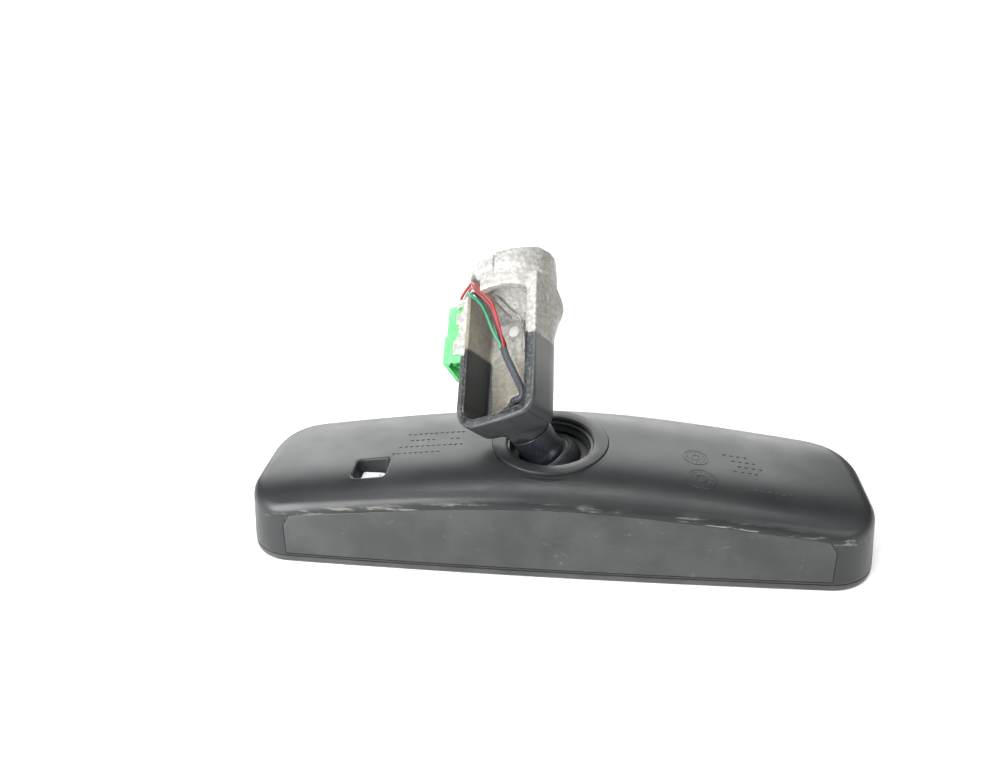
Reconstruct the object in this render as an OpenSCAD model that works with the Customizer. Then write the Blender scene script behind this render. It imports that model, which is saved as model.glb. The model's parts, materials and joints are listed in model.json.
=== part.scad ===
// Interior rearview mirror: a self-dimming mirror head on a ball joint, and the cast arm
// that carries it from a round windscreen button. The head lies on its bezel, glass down.
// Millimetres. X runs along the head, Y across it, Z is up. The origin is on the plane
// that the bezel rests on, under the middle of the whole mirror.

/* [Head] */
// Length of the head
head_len = 250; // [242:1:258]
// Width of the head across its middle
head_wid = 73; // [71:0.5:75]
// Radius of the outline's two near corners
corner_r = 19; // [17:0.5:21]
// Radius of the outline's two far corners
far_corner_r = 30; // [27:0.5:31]
// How far each long edge bows outward at its middle
edge_bow = 2; // [0.5:0.25:3]
// Height of the back face at its middle
crown_h = 41; // [40.5:0.1:41.5]
// How far the back face falls at the head's two ends
end_drop = 14; // [12:0.5:16]
// How far the back face falls at the two long edges
edge_drop = 10.7; // [9:0.1:12]
// Wall thickness of the rear housing
wall = 2.4; // [2:0.1:2.8]
// Height of the parting line between bezel and rear housing
part_z = 3; // [2.6:0.1:3.4]

/* [Ball joint] */
// Height of the ball's centre
ball_z = 29; // [28.8:0.1:29.2]
// Radius of the ball
ball_r = 10.5; // [10.3:0.1:10.6]
// Radius of the opening that the stem swings in
opening_r = 17.5; // [17:0.1:17.8]
// Gap between each pair of shells that slide on each other
shell_gap = 0.3; // [0.2:0.05:0.3]
// Turn of the head about its short axis, as it lies
pan = -26.5; // [-28:0.5:10]
// Turn of the head about its long axis, as it lies
pitch = 2; // [-8:0.5:8]
// Turn of the arm about its stem, as it lies
twist = -16; // [-20:0.5:10]

/* [Mount arm] */
// Distance from the ball's centre to the back of the arm
stem_len = 23.8; // [23:0.1:24.5]
// Angle between the stem and the arm's length
stem_angle = 59; // [57:0.5:61]
// Depth of the arm's open trough, rim to back
arm_depth = 21; // [20:0.5:22]
// Length of the arm from its bend to the end of its rim
rim_top = 52; // [50:0.5:54]
// Wall thickness of the casting on the left and below
cast_wall = 3.8; // [3.5:0.1:4]
// How much thicker the casting's right wall is
right_extra = 0.9; // [0.5:0.1:1.2]
// Bore radius of the collar that takes the windscreen button
collar_bore_r = 15; // [14.5:0.1:15.3]
// Outer radius of the collar
collar_r = 17.5; // [17.2:0.1:18]
// Distance from the arm's bend to the back of the collar's open end
collar_top = 67.3; // [66.5:0.1:68]

/* [Wiring] */
// Radius of each insulated wire
wire_r = 0.6; // [0.5:0.05:0.6]
// Radius of the sleeve round the wires
sleeve_r = 1.5; // [1.4:0.05:1.6]

/* [Hidden] */
$fn = 64;

// Shift of the head's middle from the middle of the whole mirror
head_y = -10.44;
// The ball's centre, measured from the head's middle
ball_at = [-1.7, -0.4, ball_z];

// ---- outline of the head ----------------------------------------------------------
corner_steps = 8;
long_steps = 8;
short_steps = 2;
ring_count = 4 * (corner_steps + 1) + 2 * (long_steps - 1) + 2 * (short_steps - 1);
// Index of the outline point in the middle of the right end
right_mid = corner_steps + short_steps / 2;

function bow(x) = edge_bow * (1 - pow(x / (head_len / 2), 2));
function bowed(p) = [p.x, p.y + sign(p.y) * bow(p.x)];
// Corners 0 to 3 run round from the near right one; 1 and 2 are on the far side
function is_far(q) = q % 4 == 1 || q % 4 == 2;
function radius_at(q) = is_far(q) ? far_corner_r : corner_r;
function corner_centre(q) =
    let (hx = head_len / 2 - radius_at(q), hy = head_wid / 2 - edge_bow - radius_at(q))
    [(q % 4 < 2) ? hx : -hx, is_far(q) ? hy : -hy];
function arc_point(q, angle, inset) =
    corner_centre(q) + (radius_at(q) - inset) * [cos(angle), sin(angle)];

// The head's outline moved inward by inset, as one closed ring of points
function outline(inset) = [
    for (q = [0:3])
        let (
            arc = [for (k = [0:corner_steps]) arc_point(q, 90 * (q - 1 + k / corner_steps), inset)],
            from = arc[corner_steps],
            to = arc_point(q + 1, 90 * q, inset),
            steps = (q % 2 == 0) ? short_steps : long_steps,
            side = [for (k = [1:steps - 1]) from + (to - from) * k / steps]
        )
        for (p = concat(arc, side)) bowed(p)
];

// Height of the back face over a point of the head
end_soft = 60;
function hyper(x) = sqrt(1 + pow(x / end_soft, 2)) - 1;
function back_z(p) =
    crown_h - end_drop * hyper(p.x) / hyper(head_len / 2)
    - edge_drop * pow(abs(p.y) / (head_wid / 2), 4.5);

// ---- rings of the housing, as lists of 3-D points ---------------------------------
ridge_inset = 5;
ridge_fall = 4.6;
draft_inset = 2.4;

function lifted(ring, height) = [for (p = ring) [p.x, p.y, height]];
function ridge_ring(inset) = [for (p = outline(inset)) [p.x, p.y, back_z(p)]];
// The side wall, from the parting line (share 0) to just under the ridge (share 1)
function wall_ring(share, extra) =
    let (base = outline(draft_inset * share + extra), ridge = ridge_ring(ridge_inset))
    [for (i = [0:ring_count - 1])
        [base[i].x, base[i].y, part_z + share * (ridge[i].z - ridge_fall - part_z)]];
// The round-over between the side wall and the back face
function fillet_ring(share, extra, sink) =
    let (a = wall_ring(1, extra), c = ridge_ring(ridge_inset + extra),
         m = outline(draft_inset + 0.4 + extra))
    [for (i = [0:ring_count - 1])
        let (mid = [m[i].x, m[i].y, c[i].z - 1.7])
        a[i] * pow(1 - share, 2) + mid * 2 * share * (1 - share) + c[i] * pow(share, 2)
        - [0, 0, sink * share]];
function circle_ring(r) =
    [for (i = [0:ring_count - 1])
        let (a = (i - right_mid) * 360 / ring_count) [ball_at.x + r * cos(a), ball_at.y + r * sin(a)]];
// The back face between the ridge (share 0) and the opening (share 1)
function dome_ring(share, r, extra, sink) =
    let (a = outline(ridge_inset + extra), c = circle_ring(r))
    [for (i = [0:ring_count - 1])
        let (p = a[i] * (1 - share) + c[i] * share) [p.x, p.y, back_z(p) - sink]];

// Rings joined into one closed band; the last ring joins the first
module banded(rings) {
    count = len(rings);
    width = len(rings[0]);
    polyhedron(
        points = [for (ring = rings) for (p = ring) p],
        faces = [
            for (j = [0:count - 1])
                for (i = [0:width - 1])
                    let (
                        jn = (j + 1) % count,
                        inn = (i + 1) % width,
                        a = j * width + i,
                        b = j * width + inn,
                        c = jn * width + inn,
                        d = jn * width + i
                    )
                    for (tri = [[a, c, b], [a, d, c]]) tri
        ]
    );
}

// ---- placing ----------------------------------------------------------------------
module in_head() {
    translate([0, head_y, 0]) children();
}
module at_ball() {
    in_head() translate(ball_at) children();
}
// The cup's own frame: turned with the head's short axis only
module in_cup() {
    at_ball() rotate([0, pan, 0]) children();
}
// The stem's frame: Z runs from the ball's centre out along the stem
module on_stem() {
    in_cup() rotate([pitch, 0, 0]) rotate([0, 0, twist]) children();
}
// The arm's frame: X across the trough, Y from rim to back, Z up to the collar
module in_arm() {
    on_stem() translate([0, 0, stem_len]) rotate([-stem_angle, 0, 0]) children();
}

// ---- swept wires ------------------------------------------------------------------
function unit(v) = v / norm(v);
function smooth_at(p, i, t) =
    let (
        n = len(p) - 1,
        a = p[max(i - 1, 0)], b = p[i], c = p[min(i + 1, n)], d = p[min(i + 2, n)]
    )
    0.5 * (2 * b + (c - a) * t + (2 * a - 5 * b + 4 * c - d) * t * t
        + (3 * b - a - 3 * c + d) * t * t * t);
function smoothed(p, steps) = concat(
    [for (i = [0:len(p) - 2]) for (k = [0:steps - 1]) smooth_at(p, i, k / steps)],
    [p[len(p) - 1]]
);
module tube(route, r, steps = 2, sides = 8) {
    p = smoothed(route, steps);
    n = len(p);
    rings = [
        for (i = [0:n - 1])
            let (
                along = unit(p[min(i + 1, n - 1)] - p[max(i - 1, 0)]),
                side = unit(cross(along, [0.1, 1, 0.05])),
                up = cross(side, along)
            )
            [for (k = [0:sides - 1])
                let (a = 360 * k / sides) p[i] + r * (cos(a) * side + sin(a) * up)]
    ];
    polyhedron(
        points = [for (ring = rings) for (q = ring) q],
        faces = concat(
            [[for (k = [sides - 1:-1:0]) k]],
            [[for (k = [0:sides - 1]) (n - 1) * sides + k]],
            [for (i = [0:n - 2]) for (k = [0:sides - 1])
                let (
                    kn = (k + 1) % sides,
                    a = i * sides + k,
                    b = i * sides + kn,
                    c = (i + 1) * sides + kn,
                    d = (i + 1) * sides + k
                )
                for (tri = [[a, b, d], [b, c, d]]) tri]
        )
    );
}

// ---- mount arm --------------------------------------------------------------------
arm_left = -19;
arm_right = 18.4;
floor_y = -3.5;
collar_y = -10.7;
collar_low = 47;
button_low = 52;
wire_gap_top = 58.4;
// Lean of the collar's open end, and the height of its front edge
face_lean = 20.8;
face_front = 63;
rivet_at = [-3.4, 39.2];

// Face-on outline of the trough, inside the rim by inset on the left and by inset + extra on the right
module rim_outline(inset, extra) {
    hull() {
        translate([-8.5, 1.5]) circle(10.5 - inset, $fn = 40);
        translate([11 - extra, 0.2]) circle(7.2 - inset, $fn = 32);
        translate([arm_left + inset, rim_top - 1]) square([arm_right - arm_left - 2 * inset - extra, 1]);
    }
}
module across_section(inset, extra, back, left_r, right_r) {
    hull() {
        translate([arm_left + inset, -arm_depth - inset])
            square([arm_right - arm_left - 2 * inset - extra, 1]);
        translate([arm_left + inset + left_r, back - left_r]) circle(left_r, $fn = 32);
        translate([arm_right - inset - extra - right_r, back - right_r]) circle(right_r, $fn = 32);
    }
}
module side_section(inset, back, low, low_r) {
    hull() {
        translate([-arm_depth - inset, low]) square([1, rim_top - low]);
        translate([back - low_r, low + low_r]) circle(low_r, $fn = 32);
        translate([back - 1, rim_top - 1]) square([1, 1]);
    }
}
module trough(inset, extra, back, low, left_r, right_r, low_r) {
    intersection() {
        translate([0, back, 0]) rotate([90, 0, 0])
            linear_extrude(arm_depth + inset + back) rim_outline(inset, extra);
        translate([0, 0, low - 1]) linear_extrude(rim_top + 1 - low)
            across_section(inset, extra, back, left_r, right_r);
        translate([arm_left, 0, 0]) rotate([90, 0, 90])
            linear_extrude(arm_right - arm_left) side_section(inset, back, low, low_r);
    }
}

// The bulge behind the collar, where it runs into the back of the trough
module collar_root() {
    intersection() {
        translate([0, collar_y, 0]) rotate_extrude()
            polygon([
                [0, 28], [15.5, 28], [18.1, 34.7], [19.2, 39.3], [21.1, 44.5], [21.1, 47.5],
                [18.2, 54], [collar_r, 56], [collar_r, collar_top - 0.6],
                [collar_r - 0.6, collar_top], [0, collar_top]
            ]);
        translate([-18.9, collar_y - 1.3, 25]) cube([37.5, 30, 50]);
    }
}
module collar_front() {
    difference() {
        translate([0, collar_y, 0]) rotate_extrude()
            polygon([
                [0, collar_low], [collar_r, collar_low], [collar_r, 55.5], [collar_r + 0.9, 56.5],
                [collar_r + 0.9, 58], [collar_r, collar_top - 0.6], [collar_r - 0.6, collar_top],
                [0, collar_top]
            ]);
        // Gap over the trough's left wall that the wires pass through, higher at its left
        translate([-21, -arm_depth - 10, collar_low - 1]) cube([13, 17, wire_gap_top - collar_low + 1]);
        translate([-9, -arm_depth - 10, collar_low - 1]) cube([4.4, 17, 7.6]);
    }
}
// Everything above the collar's open end, right of left_edge; the end leans back
module above_collar(left_edge, front_height) {
    translate([left_edge, -28.2, front_height]) rotate([face_lean, 0, 0])
        translate([0, -15, 0]) cube([45, 70, 30]);
}
// Flange on the left of the rim that holds the connector
module connector_flange() {
    difference() {
        union() {
            translate([-21.3, -arm_depth, 38]) cube([3, 1.8, 12]);
            translate([-20.6, -arm_depth, 31]) cube([3, 1.8, 20]);
            translate([-22.3, -arm_depth, 25.5]) cube([4, 1.8, 6]);
        }
        translate([-20, -arm_depth + 3, 45.3]) rotate([90, 0, 0]) cylinder(r = 1.9, h = 4);
        translate([-21, -arm_depth - 1, 35]) cube([2.4, 4, 3.4]);
    }
}
module mount_arm() {
    color("silver") in_arm() {
        difference() {
            union() {
                trough(0, 0, 0, -9.2, 10, 10, 10);
                collar_root();
                collar_front();
                connector_flange();
                // Boss that carries the ball stud
                rotate([stem_angle, 0, 0]) translate([0, 0, -5.5])
                    cylinder(r1 = 8.6, r2 = 11, h = 9);
            }
            trough(cast_wall, right_extra, floor_y, -6, 2, 6, 6);
            // Collar bore and the way through to the trough
            translate([0, collar_y, button_low]) cylinder(r = collar_bore_r, h = 20);
            translate([0, collar_y, collar_low - 3]) cylinder(r = collar_bore_r - 1.2, h = 9);
            translate([arm_left + cast_wall, -arm_depth - 5, rim_top - 8])
                cube([arm_right - arm_left - 2 * cast_wall - right_extra, 8, 3.5]);
            // The leaning end of the collar, a step lower on its left, and the groove by the step
            above_collar(2.2, face_front);
            above_collar(-42, face_front - 1);
            translate([2.2, collar_y - 20, button_low]) cube([0.6, 3.3, 14]);
            // Stud hole and cable way
            rotate([stem_angle, 0, 0]) translate([0, 0, -7]) cylinder(r = 5.5, h = 9.6);
            rotate([stem_angle, 0, 0]) translate([0, 0, 1]) cylinder(r = 3.6, h = 12);
            rotate([stem_angle, 0, 0]) translate([0, 0, 5.1]) cylinder(r = 6.2, h = 12);
            // Hole for the spring's rivet
            translate([rivet_at.x, 1, rivet_at.y]) rotate([90, 0, 0]) cylinder(r = 1.5, h = 6);
        }
        // Raised strip on the trough's floor below the rivet
        translate([rivet_at.x - 2.7, floor_y - 0.7, 20]) cube([5.4, 1.2, 15.8]);
    }
}

module ball_stud() {
    color("dimgray") on_stem() difference() {
        union() {
            sphere(r = ball_r);
            // Flared skirt over the top of the ball, and the neck above it
            translate([0, 0, 5.5]) cylinder(r1 = 8.9, r2 = 9.4, h = 1.9);
            translate([0, 0, 7.4]) cylinder(r1 = 9.4, r2 = 8.4, h = 2.6);
            translate([0, 0, 10]) cylinder(r1 = 8.4, r2 = 8.6, h = stem_len - 5.5 - 10);
            translate([0, 0, stem_len - 7]) cylinder(r = 5.45, h = 8.4);
            translate([0, 0, stem_len]) cylinder(r = 3.5, h = 7.2);
        }
        translate([0, 0, -ball_r - 1]) cylinder(r = 2.6, h = 60);
        translate([0, 0, -ball_r - 1]) cylinder(r1 = 5.5, r2 = 2.6, h = 4);
    }
}
// Ring nut that clamps the stud in the casting
module stud_nut() {
    color("gray") on_stem() translate([0, 0, stem_len + 5.2]) difference() {
        cylinder(r = 5.8, h = 1.8, $fn = 6);
        translate([0, 0, -1]) cylinder(r = 3.52, h = 5);
    }
}
// A hairpin of wire: one leg runs down beside the rivet, the other ends above it
module retaining_spring() {
    color("lightgray") in_arm()
        tube([
            [2.4, -5, 28], [2.4, -5, 31], [1.9, -5.2, 38], [1.6, -6, 41.6], [0.3, -7.2, 44.6],
            [-1.8, -10, 47.2], [-3.2, -13, 49.4], [-3.7, -16, 50.4], [-4.4, -17.7, 50.6],
            [-5.4, -17.2, 50.2], [-5.9, -15, 49.2], [-5.1, -11, 47.1], [-4, -8, 45.3], [-3.3, -6.6, 43.8]
        ], 0.5);
}
module spring_rivet() {
    color("white") in_arm() translate([rivet_at.x, floor_y, rivet_at.y]) rotate([90, 0, 0]) {
        rotate_extrude() polygon([[0, 0], [2.6, 0], [2.6, 0.7], [2, 1.3], [0, 1.6]]);
        translate([0, 0, -4]) cylinder(r = 1.45, h = 4.2);
    }
}

// ---- connector and wires on the arm -----------------------------------------------
plug_left = -27.3;
plug_right = -19.1;
plug_front = -19.1;
plug_back = -9;
plug_top = 50;
wire_columns = [-24.5, -21.8];
wire_rows = [-15, -12.6];

module plug_side(front_low, back_low, top) {
    polygon([[plug_front, front_low], [plug_back, back_low], [plug_back, top], [plug_front, top]]);
}
module connector_housing() {
    color("limegreen") in_arm() difference() {
        union() {
            translate([plug_left, 0, 0]) rotate([90, 0, 90])
                linear_extrude(plug_right - plug_left) plug_side(23.5, 19, plug_top);
            translate([plug_left - 0.9, 0, 0]) rotate([90, 0, 90])
                linear_extrude(2) plug_side(23.5, 19, 36);
        }
        // Socket for the car's plug, open at the lower end
        translate([plug_left + 1.1, plug_front + 1.2, 10])
            cube([plug_right - plug_left - 2.2, plug_back - plug_front - 2.4, 26]);
        // Pockets that take the wires at the upper end
        for (x = wire_columns, y = wire_rows)
            translate([x, y, plug_top - 4]) cylinder(r = wire_r + 0.03, h = 6);
        // Latch window
        translate([plug_left - 2, -16.5, 26]) cube([3.5, 5, 3]);
    }
}
module connector_lock() {
    color("mediumseagreen") in_arm() translate([plug_left - 1.9, -16, 37]) {
        cube([1.8, 4, 9]);
        translate([0, 0.5, 9]) cube([1, 3, 2.5]);
    }
}
module connector_pins() {
    color("gold") in_arm()
        for (x = wire_columns, y = wire_rows)
            translate([x - 0.3, y - 0.3, 27]) cube([0.6, 0.6, 15]);
}

// Each wire leaves the connector, rises over the end of the trough's left wall, passes
// under the collar and runs down inside the trough to the sleeve
module wire(column, row, route) {
    x = wire_columns[column];
    y = wire_rows[row];
    last = route[len(route) - 1];
    tube(concat([[x, y, 46.5], [x, y, 49]], route, [last - [0, 0, 0.9]]), wire_r);
}
module wire_red_upper() {
    color("red") in_arm() wire(0, 0, [
        [-24.4, -15.2, 52], [-23.4, -15.8, 55.6], [-21, -16.6, 57.6], [-17.6, -18.4, 58.2],
        [-14.2, -21.2, 57.2], [-10.4, -23.9, 54], [-7.6, -24.6, 50.8], [-4.8, -22.6, 47.2],
        [-3, -20.4, 43.6], [-1.9, -17.2, 35.5], [-1.5, -14.3, 28.8], [-1.5, -13.7, 27.2]
    ]);
}
module wire_red_lower() {
    color("firebrick") in_arm() wire(0, 1, [
        [-24.4, -12.9, 52], [-23.4, -13.9, 55], [-21.2, -15.2, 56.5], [-18, -17, 57.2],
        [-15.2, -19.9, 55.9], [-11.6, -22.6, 52.9], [-8.6, -23.3, 49.6], [-5.9, -21.3, 46.2],
        [-4, -19.3, 42.6], [-2.7, -16.1, 35.1], [-1.5, -12.9, 28.8], [-1.5, -12.3, 27.2]
    ]);
}
module wire_green() {
    color("seagreen") in_arm() wire(1, 0, [
        [-21.6, -15.4, 51.8], [-20.4, -16.3, 54.2], [-18.2, -17.8, 55.2], [-15.2, -21.2, 52.4],
        [-12.4, -22, 49.6], [-9, -21.4, 46], [-7.1, -19.4, 41.4], [-5, -16.9, 34],
        [-3, -14.3, 28.8], [-2.9, -13.7, 27.2]
    ]);
}
module wire_black() {
    color("black") in_arm() wire(1, 1, [
        [-21.6, -13, 51.6], [-20.4, -14.2, 53.8], [-18.4, -15.8, 54.8], [-13.8, -20.2, 52.9],
        [-10.6, -21.4, 49.9], [-7, -19.9, 46.2], [-5, -17.9, 41.8], [-3.9, -15.1, 34.6],
        [-2.9, -12.9, 28.8], [-2.9, -12.3, 27.2]
    ]);
}
module harness_sleeve() {
    color("dimgray") in_arm()
        tube([
            [-2.2, -13, 27.2], [-1, -12.6, 23.6], [0.7, -12.1, 19.6], [2.4, -11.5, 15.7],
            [4.4, -11, 11.4], [5.9, -10.6, 7.8], [6.1, -10.3, 5.6], [4.8, -10, 4.4],
            [2.6, -9.6, 4.5], [0.8, -8.5, 4.8], [0, -7, 4.2], [0, 0, 0],
            [0, 8.6, -5.15], [0, 17.2, -10.3], [0, 26, -15.6]
        ], sleeve_r);
}

// ---- the shells that the ball turns in --------------------------------------------
liner_in = ball_r + shell_gap;
liner_out = liner_in + 1;
cup_in = liner_out + shell_gap;
cup_out = cup_in + 1;
seat_r = cup_out + shell_gap;

// Ring-shaped zone of a hollow sphere between two angles from its Z axis
module zone(inner_r, outer_r, top_angle, low_angle) {
    rotate_extrude() difference() {
        intersection() {
            circle(outer_r);
            polygon([
                [0, 0],
                [40 * sin(low_angle), 40 * cos(low_angle)],
                [40, 40 * cos(low_angle)],
                [40, 40 * cos(top_angle)],
                [40 * sin(top_angle), 40 * cos(top_angle)]
            ]);
        }
        circle(inner_r);
    }
}
module socket_liner() {
    color("whitesmoke") on_stem() zone(liner_in, liner_out, 60, 148);
}
module socket_cup() {
    color("slategray") in_cup() zone(cup_in, cup_out, 66, 140);
}

// ---- head: rear housing and its trim ----------------------------------------------
hole_r = 21.5;
flange_r = 23.5;
flange_z = crown_h - 1.5;
seat_top = 34;
window_at = [-72.5, -16];
window_top = [13.6, 11.2];
window_low = [9.4, 7.8];
lens_z = 29.6;

module outer_band() {
    banded(concat(
        [for (s = [0, 0.5, 1]) wall_ring(s, 0)],
        [for (s = [0.35, 0.7]) fillet_ring(s, 0, 0)],
        [for (s = [0, 0.3, 0.65, 1]) dome_ring(s, hole_r, 0, 0)],
        [for (s = [1, 0.5, 0]) dome_ring(s, hole_r, wall * 0.6, wall)],
        [fillet_ring(0.5, wall, wall * 0.6)],
        [for (s = [0.9, 0]) wall_ring(s, wall)]
    ));
}
module tapered_box(low, low_z, high, high_z) {
    hull() {
        translate([-low.x / 2, -low.y / 2, low_z]) cube([low.x, low.y, 0.01]);
        translate([-high.x / 2, -high.y / 2, high_z]) cube([high.x, high.y, 0.01]);
    }
}
// The shallow pocket in the lower side wall, or the panel that fills it
panel_end = 106;
module panel_band(depth, proud, margin) {
    low = part_z + 1.2 - margin;
    ends = panel_end + margin;
    columns = 12;
    xs = [for (k = [0:columns]) -ends + 2 * ends * k / columns];
    top_y = function(x) -(head_wid / 2 - edge_bow - draft_inset) - bow(x);
    low_y = function(x) -(head_wid / 2 - edge_bow) - bow(x);
    top_z = function(x) back_z([x, top_y(x) + ridge_inset - draft_inset]) - ridge_fall + margin;
    slope = function(x) (top_y(x) - low_y(x)) / (top_z(x) - part_z);
    front = [for (x = xs) [x, low_y(x) + slope(x) * (low - part_z) - proud, low]];
    front_up = [for (x = xs) [x, top_y(x) - proud, top_z(x)]];
    back_up = [for (x = xs) [x, top_y(x) + depth, top_z(x)]];
    back = [for (x = xs) [x, low_y(x) + slope(x) * (low - part_z) + depth, low]];
    width = columns + 1;
    lines = [front, front_up, back_up, back];
    polyhedron(
        points = [for (line = lines) for (p = line) p],
        faces = concat(
            [[for (j = [3:-1:0]) j * width]],
            [[for (j = [0:3]) j * width + columns]],
            [for (j = [0:3]) for (i = [0:columns - 1])
                let (
                    jn = (j + 1) % 4,
                    a = j * width + i, b = a + 1,
                    d = jn * width + i, c = d + 1
                )
                for (tri = [[a, c, b], [a, d, c]]) tri]
        )
    );
}
posts = [[-105, 14], [60, -16], [60, 16], [100, -16], [100, 16]];
screw_spots = [for (a = [30, 150, 270]) [22 * cos(a), 22 * sin(a)]];
module rear_housing() {
    color([0.12, 0.13, 0.15]) in_head() difference() {
        union() {
            outer_band();
            // Seat for the ball socket
            translate([ball_at.x, ball_at.y, seat_top])
                cylinder(r = 25.8, h = flange_z - seat_top - 0.4);
            // Light well behind the sensor window
            translate(window_at) tapered_box(window_low + [3, 3], lens_z - 2, window_top + [2, 2], 33.5);
            // Posts that the backing plate screws to
            for (p = posts)
                translate([p.x, p.y, 8]) cylinder(r = 3, h = back_z(p) - 9);
        }
        translate([ball_at.x, ball_at.y, flange_z - 0.4]) cylinder(r = flange_r + 0.2, h = 10);
        translate([ball_at.x, ball_at.y, 0]) cylinder(r = 19.2, h = 60);
        for (s = screw_spots)
            translate([ball_at.x + s.x, ball_at.y + s.y, 30]) cylinder(r = 1.1, h = 8);
        translate(window_at) tapered_box(window_low, lens_z - 3, window_top, 35.5);
        for (p = posts)
            translate([p.x, p.y, 0]) cylinder(r = 1.1, h = 18);
        panel_band(1.6, 3, 0.15);
    }
}
module blanking_panel() {
    color([0.1, 0.1, 0.11]) in_head() panel_band(1.5, -0.2, 0);
}
module opening_ring() {
    lip = crown_h;
    color([0.14, 0.14, 0.16]) at_ball() translate([0, 0, -ball_z])
        rotate_extrude() polygon([
            [19, 35.4], [19, flange_z - 0.3], [flange_r, flange_z - 0.3], [flange_r, lip - 0.7],
            [flange_r - 0.5, lip - 0.25], [20.5, lip], [opening_r + 0.8, lip],
            [opening_r, lip - 0.7], [opening_r - 0.1, lip - 2], [opening_r - 1.1, lip - 2.2],
            [opening_r - 1.3, lip - 3.6], [opening_r - 2.4, 35.9], [opening_r - 2.4, 35.4]
        ]);
}
module sensor_lens() {
    color([0.9, 0.93, 0.96, 0.6]) in_head() translate(window_at) {
        translate([-window_low.x / 2 + 0.1, -window_low.y / 2 + 0.1, lens_z - 2])
            cube([window_low.x - 0.2, window_low.y - 0.2, 2]);
        translate([0, 0, 14.2]) cylinder(r = 2.2, h = lens_z - 16.2);
    }
}

// ---- head: front -------------------------------------------------------------------
glass_z = 1.2;
glass_t = 1.6;
gel_t = 0.3;
rear_t = 1.8;
gel_z = glass_z + glass_t;
rear_z = gel_z + gel_t;
foam_z = rear_z + rear_t;
plate_z = foam_z + 0.8;
plate_t = 1.8;
board_z = plate_z + plate_t + 1.5;
board_t = 1.6;
board_top = board_z + board_t;

module slab(inset, low, height) {
    translate([0, 0, low]) linear_extrude(height) polygon(outline(inset));
}
module frame_slab(outer, inner, low, height) {
    translate([0, 0, low]) linear_extrude(height) difference() {
        polygon(outline(outer));
        polygon(outline(inner));
    }
}
module bezel() {
    color([0.16, 0.16, 0.18]) in_head() {
        frame_slab(0.5, 5.6, 0, 0.5);
        frame_slab(0, 5.6, 0.5, glass_z - 0.5);
        frame_slab(0, 4.2, glass_z, part_z - glass_z);
        frame_slab(wall + 0.7, 4.2, part_z, 3.4);
    }
}
module front_glass() {
    color([0.75, 0.82, 0.85, 0.5]) in_head() slab(4.4, glass_z, glass_t);
}
module edge_seal() {
    color("black") in_head() frame_slab(5.6, 6.8, gel_z, gel_t);
}
module dimming_gel() {
    color([0.3, 0.45, 0.4, 0.6]) in_head() slab(6.8, gel_z, gel_t);
}
module rear_glass() {
    color("lightsteelblue") in_head() slab(5.4, rear_z, rear_t);
}
clip_y = 28.2;
module bus_clips() {
    color("goldenrod") in_head()
        for (side = [-1, 1])
            translate([-85, side * clip_y - 1.5, foam_z]) {
                cube([170, 3, 0.25]);
                translate([4, 0, 0]) cube([5, 3, 1.7]);
            }
}
module foam_pad() {
    color("dimgray") in_head() difference() {
        slab(11, foam_z, 0.8);
        translate([-60, 14, foam_z - 1]) cylinder(r = 4, h = 3);
    }
}
board_size = [74, 40];
board_at = [-99, -24];
board_holes = [for (x = [4, 70], y = [4, 36]) board_at + [x, y]];
module backing_plate() {
    color([0.2, 0.2, 0.2]) in_head() difference() {
        union() {
            slab(5, plate_z, plate_t);
            for (p = board_holes)
                translate([p.x, p.y, plate_z]) cylinder(r = 2.8, h = board_z - plate_z);
        }
        for (p = board_holes)
            translate([p.x, p.y, plate_z - 1]) cylinder(r = 0.9, h = 9);
        translate([-60, 14, plate_z - 1]) cylinder(r = 3, h = 6);
        for (side = [-1, 1])
            translate([-83, side * clip_y - 2.5, plate_z - 1]) cube([9, 5, 5]);
    }
}

// ---- head: electronics -------------------------------------------------------------
module circuit_board() {
    color("darkgreen") in_head() difference() {
        translate([board_at.x, board_at.y, board_z])
            cube([board_size.x, board_size.y, board_t]);
        for (p = board_holes)
            translate([p.x, p.y, board_z - 1]) cylinder(r = 1.2, h = 5);
    }
}
module board_screws() {
    color("silver") in_head()
        for (p = board_holes) translate([p.x, p.y, board_top]) {
            cylinder(r = 2.1, h = 1.2);
            translate([0, 0, -3.2]) cylinder(r = 0.88, h = 3.4);
        }
}
module microcontroller() {
    color([0.1, 0.1, 0.1]) in_head() translate([-52, -8, board_top]) {
        translate([0, 0, 0.15]) cube([10, 10, 1.5]);
        for (i = [0:5])
            translate([0.8 + 1.55 * i, -1, 0]) cube([0.6, 12, 0.3]);
    }
}
module capacitors() {
    color("saddlebrown") in_head()
        for (p = [[-88, 6], [-79, 6], [-36, 8]])
            translate([p.x, p.y, board_top]) {
                cylinder(r = 3.2, h = 6.6);
                translate([0, 0, 6.6]) cylinder(r = 2.7, h = 0.4);
            }
}
module ambient_sensor() {
    color("lightcyan") in_head() translate([window_at.x, window_at.y, board_top]) {
        translate([-2.5, -2.5, 0]) cube([5, 5, 1.2]);
        translate([0, 0, 1.2]) cylinder(r = 1.8, h = 1);
    }
}
module glare_sensor() {
    color("lightcyan") in_head() translate([-60, 14, foam_z + 0.2]) {
        cylinder(r = 2.4, h = board_z - foam_z - 0.2);
        cylinder(r = 2.8, h = 0.6);
    }
}
header_at = [-40, -14];
module board_header() {
    color("ivory") in_head() translate([header_at.x, header_at.y, board_top]) difference() {
        cube([9, 13, 7]);
        translate([1, 1, 1]) cube([9, 11, 5]);
    }
}
module harness_plug() {
    color("white") in_head() translate([header_at.x + 1.5, header_at.y + 1.2, board_top + 1.1])
        cube([9.5, 10.6, 4.8]);
}
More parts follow.
